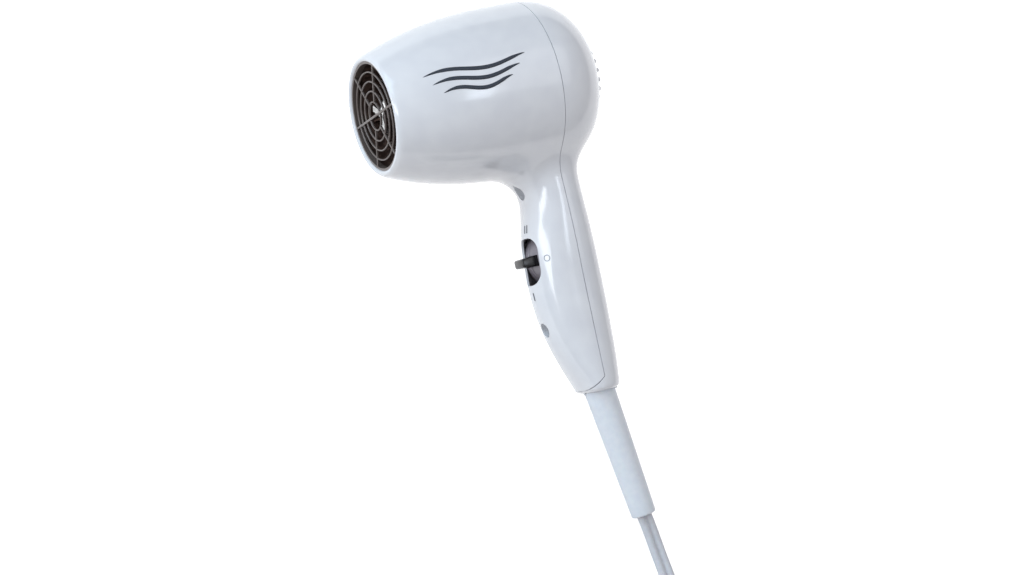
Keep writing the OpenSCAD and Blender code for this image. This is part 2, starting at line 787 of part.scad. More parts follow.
module strain_relief() {
    color([0.9, 0.92, 0.94]) laid_down() relief_axis() union() {
        translate([0, 0, -flange_seat - fit]) cylinder(r = relief_r, h = flange_seat + 2 * fit);
        cylinder(r1 = relief_r, r2 = tip_r, h = relief_l);
        translate([0, 0, -flange_seat - flange_t]) intersection() {
            cylinder(r = flange_r, h = flange_t);
            translate([-flange_rear, -flange_r, 0])
                cube([flange_front + flange_rear, 2 * flange_r, flange_t]);
        }
    }
}

module cord() {
    color([0.88, 0.89, 0.91]) {
        swept(lead_in, cord_w, cord_t);
        swept(lead_out, cord_w, cord_t);
    }
}

module cord_coil() {
    color([0.88, 0.89, 0.91]) translate([coil_at[0], coil_at[1], 0.05]) rotate_extrude($fn = 96)
        translate([coil_in, 0]) square([coil_out - coil_in, coil_h - 0.05]);
}

module cord_tie() {
    color(dark) translate([coil_at[0] - coil_mid, coil_at[1], 0]) difference() {
        translate([-13.2, -2.5, 0]) cube([26.4, 5, coil_h + 0.9]);
        translate([-12.1, -5, 0.02]) cube([24.2, 10, coil_h + 0.04]);
    }
}

module at_plug() {
    translate(plug_at) children();
}

// The plug's body: half of a box with rounded corners, seen from above, toward -X
module plug_half(z0, z1) {
    r = 5;
    hull() for (x = [-r, r - plug_l], s = [-1, 1])
        translate([x, s * (plug_w / 2 - r), z0]) cylinder(r = r, h = z1 - z0, $fn = 48);
}

module plug_hollow(z0, z1) {
    translate([-plug_l + plug_wall, -plug_w / 2 + plug_wall, z0])
        cube([plug_l - 2 * plug_wall, plug_w - 2 * plug_wall, z1 - z0]);
}

module plug_cuts() {
    translate([-6, 0, plug_split]) rotate([0, 90, 0]) cylinder(r = 5.1, h = 12);
    for (s = [-1, 1]) translate([-plug_l - over, s * blade_gap / 2 - blade_t / 2, plug_split - 3.2])
        cube([plug_wall + 2 * over, blade_t, 6.4]);
}

module plug_screw_holes(r, from, to) {
    for (s = [-1, 1]) translate([-6, s * (plug_w / 2 - 5), from]) cylinder(r = r, h = to - from);
}

module plug_body() {
    color(white) at_plug() difference() {
        plug_half(0, plug_split);
        plug_hollow(plug_wall, plug_split + over);
        plug_cuts();
        plug_screw_holes(plug_screw_r + 0.1, -over, 1.7);
    }
}

module plug_cover() {
    color(white) at_plug() difference() {
        plug_half(plug_split, plug_h);
        plug_hollow(plug_split - over, plug_h - plug_wall);
        plug_cuts();
        for (x = button_x) translate([x - button_w / 2 - gap, -button_l / 2 - gap, plug_h - 5])
            cube([button_w + 2 * gap, button_l + 2 * gap, 10]);
    }
}

module plug_blades() {
    color(brass) at_plug() for (s = [-1, 1])
        translate([-plug_l - blade_l, s * blade_gap / 2 - blade_t / 2, plug_split - 3.2]) hull() {
            translate([1.5, 0, 0]) cube([blade_l + 5, blade_t, 6.4]);
            translate([0, 0.5, 0.8]) cube([1.5, blade_t - 1, 4.8]);
        }
}

module plug_strain_relief() {
    color([0.9, 0.92, 0.94]) at_plug() translate([0, 0, plug_split]) rotate([0, 90, 0]) {
        translate([0, 0, -4]) cylinder(r = 5, h = 6);
        translate([0, 0, -4]) cylinder(r = 6.4, h = 2);
        cylinder(r1 = 5, r2 = 4.4, h = 22);
    }
}

module plug_screws() {
    color(steel) at_plug() plug_screw_holes(plug_screw_r, 0.4, 1.6);
}

module plug_board() {
    color([0.25, 0.45, 0.3]) at_plug() translate([-plug_l + 9, -13, board_z - 4]) cube([32, 26, 1.4]);
}

module trip_relay() {
    color(dark) at_plug() {
        translate([-plug_l + 11, -12, board_z - 11.5]) cube([14, 11, 7.4]);
        translate([-plug_l + 11, 3, board_z - 11.5]) cube([10, 8, 7.4]);
    }
}

module push_button(x) {
    translate([x - button_w / 2, -button_l / 2, button_z]) {
        cube([button_w, button_l, plug_h + button_proud - button_z]);
        translate([-1.3, -1.3, -0.8]) cube([button_w + 2.6, button_l + 2.6, 1.8]);
    }
}

module test_button() {
    color([0.2, 0.3, 0.6]) at_plug() push_button(button_x[0]);
}

module reset_button() {
    color([0.7, 0.15, 0.12]) at_plug() push_button(button_x[1]);
}

module button_spring(x) {
    translate([x, 0, board_z - 2.6]) difference() {
        cylinder(r = 2, h = button_z - 0.8 - board_z + 2.6);
        translate([0, 0, -over]) cylinder(r = 1.4, h = 20);
    }
}

module test_spring() {
    color(steel) at_plug() button_spring(button_x[0]);
}

module reset_spring() {
    color(steel) at_plug() button_spring(button_x[1]);
}

front_shell();
rear_cover();
outlet_grille();
intake_grille();
lint_screen();
shell_screws();
heater_liner();
heater_board_a();
heater_board_b();
heater_bracket();
heater_coil_main();
heater_coil_low();
thermostat();
thermal_fuse();
motor_mount();
motor_can();
motor_end_cap();
motor_magnets();
motor_bearings();
motor_brushes();
rectifier_board();
rectifier_diodes();
motor_shaft();
armature_core();
armature_windings();
commutator();
fan_impeller();
switch_body();
switch_terminals();
switch_lever();
switch_pivot();
contact_slider();
slider_contact();
cord_clamp();
clamp_screws();
lead_wires();
wire_connectors();
strain_relief();
cord();
cord_coil();
cord_tie();
plug_body();
plug_cover();
plug_blades();
plug_strain_relief();
plug_screws();
plug_board();
trip_relay();
test_button();
reset_button();
test_spring();
reset_spring();
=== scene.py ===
# %% [markdown]
# # A compact hair dryer, lying on its side
# The dryer is a white moulded shell in two halves, a front shell and a rear cover,
# around a fan, a motor and a heater. A lever in the handle works the switch.
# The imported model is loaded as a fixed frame, and each visible piece is modelled
# again round it with rounded edges and a real finish. Whatever is left as the CAD
# made it keeps its mesh and only gets a better material.

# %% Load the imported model
import json
import math
import bmesh
import bpy
from mathutils import Matrix, Vector


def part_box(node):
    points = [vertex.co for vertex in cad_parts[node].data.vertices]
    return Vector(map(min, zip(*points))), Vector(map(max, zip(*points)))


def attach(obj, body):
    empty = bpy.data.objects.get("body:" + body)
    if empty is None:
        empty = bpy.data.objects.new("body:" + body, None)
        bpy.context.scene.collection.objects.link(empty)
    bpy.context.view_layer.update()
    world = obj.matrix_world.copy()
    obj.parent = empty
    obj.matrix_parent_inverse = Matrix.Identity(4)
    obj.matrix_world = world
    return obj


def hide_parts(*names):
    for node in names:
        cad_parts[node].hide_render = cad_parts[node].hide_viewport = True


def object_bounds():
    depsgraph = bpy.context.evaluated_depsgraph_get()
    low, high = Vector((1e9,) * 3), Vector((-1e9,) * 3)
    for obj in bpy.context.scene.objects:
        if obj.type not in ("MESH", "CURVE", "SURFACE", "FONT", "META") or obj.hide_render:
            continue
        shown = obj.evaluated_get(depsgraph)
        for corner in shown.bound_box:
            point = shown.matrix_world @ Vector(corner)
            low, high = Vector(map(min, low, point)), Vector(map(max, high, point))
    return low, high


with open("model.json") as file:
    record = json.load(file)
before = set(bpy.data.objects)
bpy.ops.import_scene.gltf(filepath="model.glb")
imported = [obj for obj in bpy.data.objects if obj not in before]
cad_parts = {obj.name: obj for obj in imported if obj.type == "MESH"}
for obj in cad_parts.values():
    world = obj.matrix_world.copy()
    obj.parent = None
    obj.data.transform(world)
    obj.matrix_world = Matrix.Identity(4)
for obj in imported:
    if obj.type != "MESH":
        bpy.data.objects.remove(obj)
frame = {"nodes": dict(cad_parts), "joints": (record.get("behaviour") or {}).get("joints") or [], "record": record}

cad_low, cad_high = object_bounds()
print("CAD box in mm", [round(1000 * v) for v in cad_high - cad_low])

# %% [markdown]
# ## The dryer's own axes
# A dryer is drawn with its barrel along X, its outlet toward -X and its handle
# toward -Z, but this one lies on its side. The fan's joint gives the barrel's
# middle and the X axis, and the lever's joint gives Y. Every piece of the dryer is
# modelled in those axes in millimetres, and one matrix lays it down in metres.

# %% The dryer's axes in the row frame
joints = {j["name"]: j for j in frame["joints"]}
axis_x = Vector(joints["impeller_spin"]["axis"]).normalized()
axis_y = Vector(joints["lever_swing"]["axis"]).normalized()
axis_z = axis_x.cross(axis_y)
middle = Vector(joints["impeller_spin"]["pos_m"])
MM = 0.001
turn = Matrix((axis_x, axis_y, axis_z)).transposed().to_4x4()
LAID_DOWN = Matrix.Translation(middle) @ turn @ Matrix.Scale(MM, 4)
UPRIGHT = Matrix.Scale(MM, 4)
print("the barrel's middle is", [round(1000 * v, 1) for v in middle], "mm")

# %% [markdown]
# ## Camera
# The dryer is seen from its left, 24 degrees round toward the outlet, with the
# camera level with the handle and rolled 13 degrees, so that the handle hangs
# toward the lower right. A long lens from 1.1 metres keeps the barrel's shape.

# %% Camera
VIEW_TURN, VIEW_ROLL, VIEW_FAR = math.radians(24.12), math.radians(-13.06), 1123.4
aim = Vector((-23.6, 10.5, -92.2))
ahead = Vector((math.sin(VIEW_TURN), math.cos(VIEW_TURN), 0))
level = Vector((math.cos(VIEW_TURN), -math.sin(VIEW_TURN), 0))
right = level * math.cos(VIEW_ROLL) + Vector((0, 0, math.sin(VIEW_ROLL)))
above = right.cross(ahead)
camera = bpy.data.objects.new("camera", bpy.data.cameras.new("camera"))
camera.data.lens, camera.data.sensor_width = 82.5, 36
camera.data.clip_start, camera.data.clip_end = 0.05, 20
seen_from = Matrix((right, above, -ahead)).transposed().to_4x4()
seen_from.translation = aim - ahead * VIEW_FAR
place = LAID_DOWN @ seen_from
camera.matrix_world = Matrix.Translation(place.translation) @ place.to_quaternion().to_matrix().to_4x4()
bpy.context.scene.collection.objects.link(camera)
bpy.context.scene.camera = camera
print("camera at", [round(v, 3) for v in camera.matrix_world.translation])

# %% [markdown]
# ## Floor and light
# The dryer lies on a plain white sweep. A wide soft box up on the left is the main
# light, and a long narrow one, tilted, draws the pointed highlight down the handle.
# A wide weak one on the right lights the dome, and a small one in front of it the
# skin beside the seam. They are placed by the
# directions that the camera sees as right, above and toward itself.

# %% Colour helper and a function that adds a node
def linear(colour):
    """An sRGB hex colour as linear red, green, blue and alpha."""
    parts = [int(colour[i : i + 2], 16) / 255 for i in (1, 3, 5)]
    return tuple(c / 12.92 if c <= 0.04045 else ((c + 0.055) / 1.055) ** 2.4 for c in parts) + (1.0,)


def add_node(tree, kind, fields=(), values=(), links=()):
    """Adds a node, sets its own fields and its inputs' values, and links its inputs."""
    made = tree.nodes.new(kind)
    for name, value in dict(fields).items():
        setattr(made, name, value)
    for name, value in dict(values).items():
        made.inputs[name].default_value = value
    for name, output in dict(links).items():
        tree.links.new(output, made.inputs[name])
    return made


# %% Floor
def new_material(name, **values):
    """A material with one Principled shader, whose inputs take the values given."""
    made = bpy.data.materials.new(name)
    made.use_nodes = True
    shader = made.node_tree.nodes["Principled BSDF"]
    for key, value in values.items():
        shader.inputs[key.replace("_", " ")].default_value = value
    return made, made.node_tree, shader


FLOOR_HALF = 4.0
sweep = bmesh.new()
bmesh.ops.create_grid(sweep, x_segments=2, y_segments=2, size=FLOOR_HALF)
bmesh.ops.translate(sweep, verts=sweep.verts, vec=(0, 0, cad_low.z - 0.0002))
floor_mesh = bpy.data.meshes.new("floor")
sweep.to_mesh(floor_mesh)
sweep.free()
floor = bpy.data.objects.new("floor", floor_mesh)
bpy.context.scene.collection.objects.link(floor)
paper, paper_tree, paper_shader = new_material(
    "white_paper_sweep", Base_Color=linear("#F7F5F4"), Roughness=0.9, Emission_Color=(1, 1, 1, 1),
    Emission_Strength=0.72)
floor_mesh.materials.append(paper)
floor.visible_diffuse = False   # a far sweep: it shows, but it throws no light up under the dryer

# %% Lights
def soft_box(name, sideways, up, toward, width, height, power, tint, tilt=0):
    """A soft box, placed in mm from the aim by the camera's directions, facing the aim."""
    data = bpy.data.lights.new(name, "AREA")
    data.shape, data.size, data.size_y = "RECTANGLE", width * MM, height * MM
    data.energy, data.color = power, linear(tint)[:3]
    lamp = bpy.data.objects.new(name, data)
    offset = right * sideways + above * up - ahead * toward
    lamp.location = LAID_DOWN @ (aim + offset)
    facing = turn.to_3x3() @ offset.normalized()
    across = (turn.to_3x3() @ above).cross(facing).normalized()
    stand = Matrix((across, facing.cross(across), facing)).transposed()
    lamp.rotation_euler = (stand @ Matrix.Rotation(math.radians(tilt), 3, "Z")).to_euler()
    bpy.context.scene.collection.objects.link(lamp)


soft_box("main_box", -850, 800, 900, 900, 900, 7.6, "#CFEBFF")
soft_box("handle_box", -1010, -15, 965, 1300, 270, 7.5, "#F7FBFF", tilt=-17)
soft_box("right_box", 880, 660, 860, 1000, 1150, 3.6, "#F6F6FA")
soft_box("seam_box", 690, 200, 1180, 230, 300, 1.0, "#E6F2FF")
world = bpy.data.worlds.new("studio")
world.use_nodes = True
world.node_tree.nodes["Background"].inputs["Color"].default_value = linear("#F2F1F3")
world.node_tree.nodes["Background"].inputs["Strength"].default_value = 0.435
bpy.context.scene.world = world
bpy.context.scene.view_settings.view_transform = "Standard"
print("four soft boxes and a pale world")

# %% [markdown]
# ## Finishes
# Each finish starts from the real material. Most are moulded or drawn, so one
# function gives them what such a surface shows: two close tones, a grain of a real
# size in millimetres that also varies the gloss, and a height for that grain.
# Metals keep the default IOR. The grain is read from Object coordinates, which are
# the row frame's metres, so it stays put when the piece moves.

# %% A function for a finish with a grain
def grained(name, tones, grain, gloss, height, stretch=(1, 1, 1), texture="ShaderNodeTexNoise",
            detail=3.0, **values):
    """tones: two hex colours; grain and height in mm; gloss: roughness from and to."""
    made, tree, shader = new_material(name, **values)
    where = add_node(tree, "ShaderNodeTexCoord")
    mapped = add_node(tree, "ShaderNodeMapping", values={"Scale": stretch},
                      links={"Vector": where.outputs["Object"]})
    inputs = {"Scale": 1 / (grain * MM)}
    if texture == "ShaderNodeTexNoise":
        inputs["Detail"] = detail
    pattern = add_node(tree, texture, values=inputs, links={"Vector": mapped.outputs["Vector"]})
    level_of = pattern.outputs["Color" if texture == "ShaderNodeTexVoronoi" else 0]
    ramp = add_node(tree, "ShaderNodeValToRGB", links={"Fac": level_of})
    ramp.color_ramp.elements[0].position, ramp.color_ramp.elements[1].position = 0.3, 0.7
    ramp.color_ramp.elements[0].color, ramp.color_ramp.elements[1].color = map(linear, tones)
    rough = add_node(tree, "ShaderNodeMapRange", values={"To Min": gloss[0], "To Max": gloss[1]},
                     links={"Value": level_of})
    bump = add_node(tree, "ShaderNodeBump", values={"Strength": 1.0, "Distance": height * MM},
                    links={"Height": level_of})
    tree.links.new(ramp.outputs["Color"], shader.inputs["Base Color"])
    tree.links.new(rough.outputs["Result"], shader.inputs["Roughness"])
    tree.links.new(bump.outputs["Normal"], shader.inputs["Normal"])
    return made


# %% Plastics, vinyls and inks
# Gloss ABS from a polished mould: a clean reflection with a faint orange peel.
white_abs = grained("abs_gloss_moulded", ("#E2E4E9", "#E7E9ED"), 9, (0.13, 0.19), 0.0012,
                    detail=1.0, IOR=1.54, Coat_Weight=0.25, Coat_Roughness=0.06)
# Glass-filled PBT, which stands the heat at the outlet: warm grey and satin.
taupe_pbt = grained("pbt_satin_moulded", ("#625854", "#706661"), 0.8, (0.32, 0.45), 0.004, IOR=1.57)
# Nylon for the lever and the dark shield behind it.
black_nylon = grained("nylon_black_moulded", ("#100E10", "#171517"), 0.7, (0.20, 0.30), 0.004, IOR=1.53)
grey_nylon = grained("nylon_grey_moulded", ("#827C84", "#8E8890"), 0.9, (0.38, 0.52), 0.004, IOR=1.53)
# Soft vinyl of the sleeve and the lead: slightly bluish, satin, faintly mottled.
sleeve_vinyl = grained("vinyl_sleeve_moulded", ("#DEE4EC", "#E5EAF0"), 3.0, (0.36, 0.48), 0.004,
                       detail=2.0, IOR=1.52, Subsurface_Weight=0.05)
lead_vinyl = grained("vinyl_lead_extruded", ("#CCCFD6", "#D5D8DE"), 2.2, (0.36, 0.50), 0.005,
                     detail=2.0, IOR=1.52, Subsurface_Weight=0.05)
plug_abs = grained("abs_plug_moulded", ("#DDE0E3", "#E6E9EB"), 0.6, (0.30, 0.42), 0.006, IOR=1.54)
cream_nylon = grained("nylon_cream_moulded", ("#D8D2C2", "#E2DDD0"), 1.2, (0.40, 0.55), 0.005, IOR=1.53)
dark_resin = grained("phenolic_moulded", ("#1E1E20", "#2A292C"), 0.8, (0.35, 0.55), 0.005, IOR=1.6)
blue_abs = grained("abs_blue_moulded", ("#2F4E8C", "#355698"), 0.8, (0.28, 0.38), 0.004, IOR=1.54)
red_abs = grained("abs_red_moulded", ("#9E231E", "#AC2B24"), 0.8, (0.28, 0.38), 0.004, IOR=1.54)
wire_jacket = grained("pvc_wire_jacket", ("#B82F27", "#C43A31"), 1.0, (0.35, 0.5), 0.003, IOR=1.53)
mark_ink = grained("pad_printed_ink", ("#2C313B", "#39404C"), 0.5, (0.45, 0.60), 0.002, IOR=1.5)
pale_ink = grained("pad_printed_grey_ink", ("#8D97A3", "#9AA3AE"), 0.5, (0.45, 0.60), 0.002, IOR=1.5)
print(len(bpy.data.materials), "materials so far")

# %% Metals and the heater's materials
# Drawn and plated metals: fine lines along one way that stretch the highlight.
zinc_steel = grained("steel_zinc_plated", ("#B9BBBF", "#CFD1D4"), 0.5, (0.22, 0.36), 0.003, Metallic=1.0)
bright_steel = grained("steel_bright_stamped", ("#D5D5D6", "#EBEBEA"), 0.6, (0.16, 0.30), 0.004,
                       (0.15, 1, 1), Metallic=1.0)
nichrome = grained("nichrome_drawn_wire", ("#6E625C", "#8C7F76"), 0.4, (0.35, 0.55), 0.004, Metallic=1.0)
brass = grained("brass_stamped", ("#B99A52", "#CDB068"), 0.5, (0.22, 0.36), 0.003, (0.2, 1, 1), Metallic=1.0)
copper = grained("copper_wound", ("#A8613F", "#BE7450"), 0.5, (0.28, 0.42), 0.004, Metallic=1.0)
ferrite = grained("ferrite_sintered", ("#2C2C2F", "#3A3A3D"), 0.8, (0.5, 0.7), 0.02)
carbon = grained("carbon_pressed", ("#161616", "#232323"), 0.5, (0.45, 0.65), 0.01)
laminate = grained("epoxy_glass_laminate", ("#2E6A44", "#387A50"), 0.8, (0.3, 0.42), 0.004, (1, 1, 0.3))
# Pressed mica: dark brown flakes a few millimetres across, each with its own gloss.
mica = grained("mica_pressed_sheet", ("#3A2B26", "#59453C"), 2.2, (0.28, 0.62), 0.03,
               texture="ShaderNodeTexVoronoi", IOR=1.58)
print(len(bpy.data.materials), "materials in all")

# %% Woven wire for the lint screen
# The screen is woven from fine steel wire, 1 mm apart, drawn a little coarser so
# that it shows. Two waves give the two sets of wires, and the larger of the two the weave.
WIRE_PITCH = 1.0
lint_wire, lint_tree, lint_shader = new_material("steel_woven_wire", Metallic=1.0, Roughness=0.45)
lint_where = add_node(lint_tree, "ShaderNodeTexCoord")
threads = [add_node(lint_tree, "ShaderNodeTexWave", {"bands_direction": way},
                    {"Scale": 0.31416 / (WIRE_PITCH * MM), "Distortion": 0.0},
                    {"Vector": lint_where.outputs["Object"]}) for way in "YZ"]
weave = add_node(lint_tree, "ShaderNodeMath", {"operation": "MAXIMUM"},
                 links={0: threads[0].outputs["Fac"], 1: threads[1].outputs["Fac"]})
weave_ramp = add_node(lint_tree, "ShaderNodeValToRGB", links={"Fac": weave.outputs[0]})
weave_ramp.color_ramp.elements[0].position, weave_ramp.color_ramp.elements[1].position = 0.5, 0.85
weave_ramp.color_ramp.elements[0].color = linear("#17171A")
weave_ramp.color_ramp.elements[1].color = linear("#8F8F94")
weave_bump = add_node(lint_tree, "ShaderNodeBump", values={"Distance": 0.2 * MM},
                      links={"Height": weave.outputs[0]})
lint_tree.links.new(weave_ramp.outputs["Color"], lint_shader.inputs["Base Color"])
lint_tree.links.new(weave_bump.outputs["Normal"], lint_shader.inputs["Normal"])

# %% [markdown]
# ## One function that turns a mesh into a piece
# A piece is modelled as a bmesh in millimetres. This function lays it down,
# links it, gives it its finish, says which CAD body it rides on, and hides the CAD
# solids it stands for. Faces that meet at more than 40 degrees keep a sharp edge.

# %% Make a piece
def piece(name, bm, body, finish, stands_for=(), where=LAID_DOWN, sharp=40):
    """Turns a bmesh in mm into a piece of the object."""
    bm.transform(where)
    mesh = bpy.data.meshes.new(name)
    bm.to_mesh(mesh)
    bm.free()
    mesh.polygons.foreach_set("use_smooth", [True] * len(mesh.polygons))
    mesh.set_sharp_from_angle(angle=math.radians(sharp))
    mesh.materials.append(finish)
    made = bpy.data.objects.new(name, mesh)
    bpy.context.scene.collection.objects.link(made)
    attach(made, body)
    if stands_for:
        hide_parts(*stands_for)
    print(name, len(mesh.polygons), "faces")
    return made


def outward(bm):
    """Merges doubles and turns every face outwards."""
    bmesh.ops.remove_doubles(bm, verts=bm.verts, dist=0.0005)
    bmesh.ops.recalc_face_normals(bm, faces=bm.faces)


def spin_about_x(bm, profile, steps, closed=False):
    """Turns a profile of (x, radius) points about the barrel's axis."""
    made = [bm.verts.new((x, r, 0)) for x, r in profile]
    pairs = list(zip(made, made[1:])) + ([(made[-1], made[0])] if closed else [])
    lines = [bm.edges.new(p) for p in pairs]
    bmesh.ops.spin(bm, geom=made + lines, axis=(1, 0, 0), cent=(0, 0, 0), angle=math.tau,
                   steps=steps, use_merge=True)


# %% [markdown]
# ## The lead
# The lead is 1.8 m of flat twin flex, 7.8 by 3.9 mm: two round cores side by side
# with a groove between them. It leaves the sleeve, comes down on to the floor and
# runs off. Its spare length is wound for storage in two layers of three turns, from
# the outside in and then out again, and the plug lies beside the coil. A closed
# profile carried along the route makes it, with its width kept level.

# %% The lead's route, in millimetres of the row frame
CORD_W, CORD_T = 7.8, 3.9
lead_in = [(34.6, -126, 5.6), (35.6, -134, 4.3), (36.5, -141, 3.1), (37.4, -149, 2.3), (38.2, -158, 2),
           (38.9, -168, 2), (39.4, -178, 2), (39.7, -190, 2), (39.9, -202, 2), (40, -214, 2)]
lead_out = [(40, -230, 9.6), (39, -242, 9.2), (36, -256, 9.0), (30, -270, 9.6), (21, -282, 10.6),
            (11, -291, 11.8), (0, -296, 12.8), (-10, -298, 13), (-18, -298, 13)]
COIL_AT, COIL_R, TURNS, PER_TURN = Vector((-12, -222)), (52, 44, 36, 36, 44, 52, 52), 6, 48


def ease(t):
    t = min(1.0, max(0.0, t))
    return t * t * (3 - 2 * t)


coil = []
for step in range(TURNS * PER_TURN + 1):
    lap, part = divmod(step / PER_TURN, 1.0)
    lap = min(int(lap), TURNS - 1)
    part = step / PER_TURN - lap
    late = ease((part - 0.75) / 0.25)                # each lap shifts in its last quarter
    reach = COIL_R[lap] + (COIL_R[lap + 1] - COIL_R[lap]) * late
    if lap == 2:
        reach = COIL_R[2] - CORD_W * late            # dips inside while it climbs to the top layer
    if lap == 3:
        reach = COIL_R[3] - CORD_W * (1 - ease(part / 0.25)) + 8 * late
    height = 2 if lap < 2 else 2 + 4 * ease((part - 0.875) / 0.125) if lap == 2 else 6
    if lap == 5:
        height = 6 + 4 * ease((part - 0.55) / 0.25)  # the last lap ends on top
    angle = -math.tau * part
    coil.append((COIL_AT.x + reach * math.cos(angle), COIL_AT.y + reach * math.sin(angle), height))


def smooth_route(points, spacing=3.0):
    """Even points on a smooth curve through the given ones."""
    dense = []
    for i in range(len(points) - 1):
        p = [Vector(points[min(max(k, 0), len(points) - 1)]) for k in range(i - 1, i + 3)]
        for j in range(12):
            t = j / 12
            dense.append(0.5 * (2 * p[1] + (p[2] - p[0]) * t + (2 * p[0] - 5 * p[1] + 4 * p[2] - p[3]) * t * t
                                + (3 * p[1] - p[0] - 3 * p[2] + p[3]) * t ** 3))
    dense.append(Vector(points[-1]))
    kept = [dense[0]]
    for p in dense[1:]:
        if (p - kept[-1]).length >= spacing:
            kept.append(p)
    return kept


SLEEVE_TIP = Vector((34.08, -125.50, 6.02))
route = smooth_route([tuple(SLEEVE_TIP)] + lead_in[1:] + coil + lead_out)

# %% Carry the twin profile along the route
CORE = CORD_T / 2
profile = []
for side in (1, -1):                                 # two round cores, joined by a web
    for k in range(-5, 6):
        a = math.radians(k * 31) + (0 if side > 0 else math.pi)
        profile.append((side * (CORD_W / 2 - CORE) + CORE * math.cos(a), CORE * math.sin(a)))
lead = bmesh.new()
ring = [lead.verts.new((a, b, 0)) for a, b in profile]
sides = [lead.edges.new((ring[i], ring[(i + 1) % len(ring)])) for i in range(len(ring))]


def ring_at(points, i):
    """The matrix that stands the profile square to the route, its width level."""
    along = (points[min(i + 1, len(points) - 1)] - points[max(i - 1, 0)]).normalized()
    across = along.cross(Vector((0, 0, 1))).normalized()
    here = Matrix((across, across.cross(along), along)).transposed().to_4x4()
    here.translation = points[i]
    return here


bmesh.ops.transform(lead, matrix=ring_at(route, 0), verts=ring)
front_edges = sides
for i in range(1, len(route)):
    made = bmesh.ops.extrude_edge_only(lead, edges=front_edges)["geom"]
    new_verts = [g for g in made if isinstance(g, bmesh.types.BMVert)]
    front_edges = [g for g in made if isinstance(g, bmesh.types.BMEdge)
                   and all(v in new_verts for v in g.verts)]
    bmesh.ops.transform(lead, matrix=ring_at(route, i) @ ring_at(route, i - 1).inverted(), verts=new_verts)
bmesh.ops.contextual_create(lead, geom=front_edges)
bmesh.ops.contextual_create(lead, geom=sides)
outward(lead)
lead_piece = piece("lead", lead, "housing", lead_vinyl, ("cord", "cord_coil"), UPRIGHT,
                   sharp=60)

# %% [markdown]
# ## The strain relief
# A soft vinyl sleeve 64 mm long keeps the lead from kinking where it leaves the
# handle. It tapers a little and ends in a rounded lip with the lead's slot in it.
# A profile spun about the sleeve's own leaning axis gives it.

# %% Strain relief sleeve
TAIL_Z, RELIEF_X, RELIEF_LEAN = -150, 5.2, 7.3
SLEEVE_L, SLEEVE_R, TIP_R, LIP_R = 64, 7.5, 6.1, 1.0
sleeve = bmesh.new()
sleeve_profile = [(-4.5, SLEEVE_R), (0, SLEEVE_R)]
sleeve_profile += [(SLEEVE_L * k / 10, SLEEVE_R + (TIP_R - SLEEVE_R) * k / 10) for k in range(1, 10)]
sleeve_profile += [(SLEEVE_L - LIP_R + LIP_R * math.sin(a), TIP_R - LIP_R + LIP_R * math.cos(a))
                   for a in [math.radians(18 * k) for k in range(6)]]
sleeve_profile += [(SLEEVE_L, 4.4), (SLEEVE_L - 0.6, 4.1), (SLEEVE_L - 6, 4.0)]
spin_about_x(sleeve, sleeve_profile, 64)
outward(sleeve)
lean = Matrix.Translation((RELIEF_X, 0, TAIL_Z)) @ Matrix.Rotation(math.radians(90 - RELIEF_LEAN), 4, "Y")
bmesh.ops.transform(sleeve, matrix=lean, verts=sleeve.verts)
piece("strain_relief_sleeve", sleeve, "housing", sleeve_vinyl, ("strain_relief",))

# %% [markdown]
# ## The shell
# On the real dryer the barrel flows into the handle with a soft fillet, and the
# whole outside is one gloss surface that a seam cuts in two. It could be two solids
# joined by a Boolean, but that leaves a hard crease where the fillet should be.
# Here the outside is one mesh of quads: the barrel is a spun profile, the handle a
# stack of rings, and a bridge joins them. Each vertex near the joint then slides on
# to a surface that blends the two shapes, which gives an even fillet.

# %% The barrel's and the handle's shapes
BARREL_R, NOSE_L, DOME_L, OUTLET_R, RIM_W = 41.5, 77.5, 34.5, 25.8, 2.7
NOSE_DROP, NOSE_POWER, DOME_POWER, INTAKE_R = BARREL_R - OUTLET_R - RIM_W, 2.6, 2.45, 20.0
PART_X, NECK_Z, SECTION_POWER = 2.7, -44, 2.2
GRIP_FRONT, GRIP_REAR, GRIP_HALF = 20.5, 14.8, 16.5
# front depth, rear depth and half width as shares, evenly down the handle
GRIP_ROWS = [(0.68, 0.96, 1.07), (0.71, 0.965, 1.09), (0.87, 0.99, 1.09), (0.965, 1.005, 1.05), (1, 1, 0.995),
             (0.955, 0.98, 0.96), (0.825, 0.94, 0.925), (0.605, 0.88, 0.9), (0.35, 0.785, 0.86)]
FILLET, FILLET_REAR, TAIL_ROUND = 15.5, 8.0, 3.0


def barrel_radius(x):
    if x <= 0:
        return BARREL_R - NOSE_DROP * (-x / NOSE_L) ** NOSE_POWER
    return BARREL_R * max(0.0, 1 - (x / DOME_L) ** DOME_POWER) ** (1 / DOME_POWER)


def grip_size(z):
    """The handle's front depth, rear depth and half width at a height."""
    v = min(1.0, max(0.0, (NECK_Z - z) / (NECK_Z - TAIL_Z))) * 8
    i = min(7, int(v))
    t = v - i
    rows = [GRIP_ROWS[min(max(k, 0), 8)] for k in range(i - 1, i + 3)]
    share = [0.5 * (2 * b + (c - a) * t + (2 * a - 5 * b + 4 * c - d) * t * t
                    + (3 * b - a - 3 * c + d) * t ** 3)
             for a, b, c, d in zip(*rows)]
    return share[0] * GRIP_FRONT, share[1] * GRIP_REAR, share[2] * GRIP_HALF


def oval_gap(u, v, power):
    """How far a point is outside a unit superellipse, u and v as (offset, half axis)."""
    a, b = abs(u[0]) / u[1], abs(v[0]) / v[1]
    size = max(1e-6, a ** power + b ** power) ** (1 / power)
    slope = math.hypot(a ** (power - 1) / u[1], b ** (power - 1) / v[1]) * size ** (1 - power)
    return (size - 1) / max(slope, 1e-6)


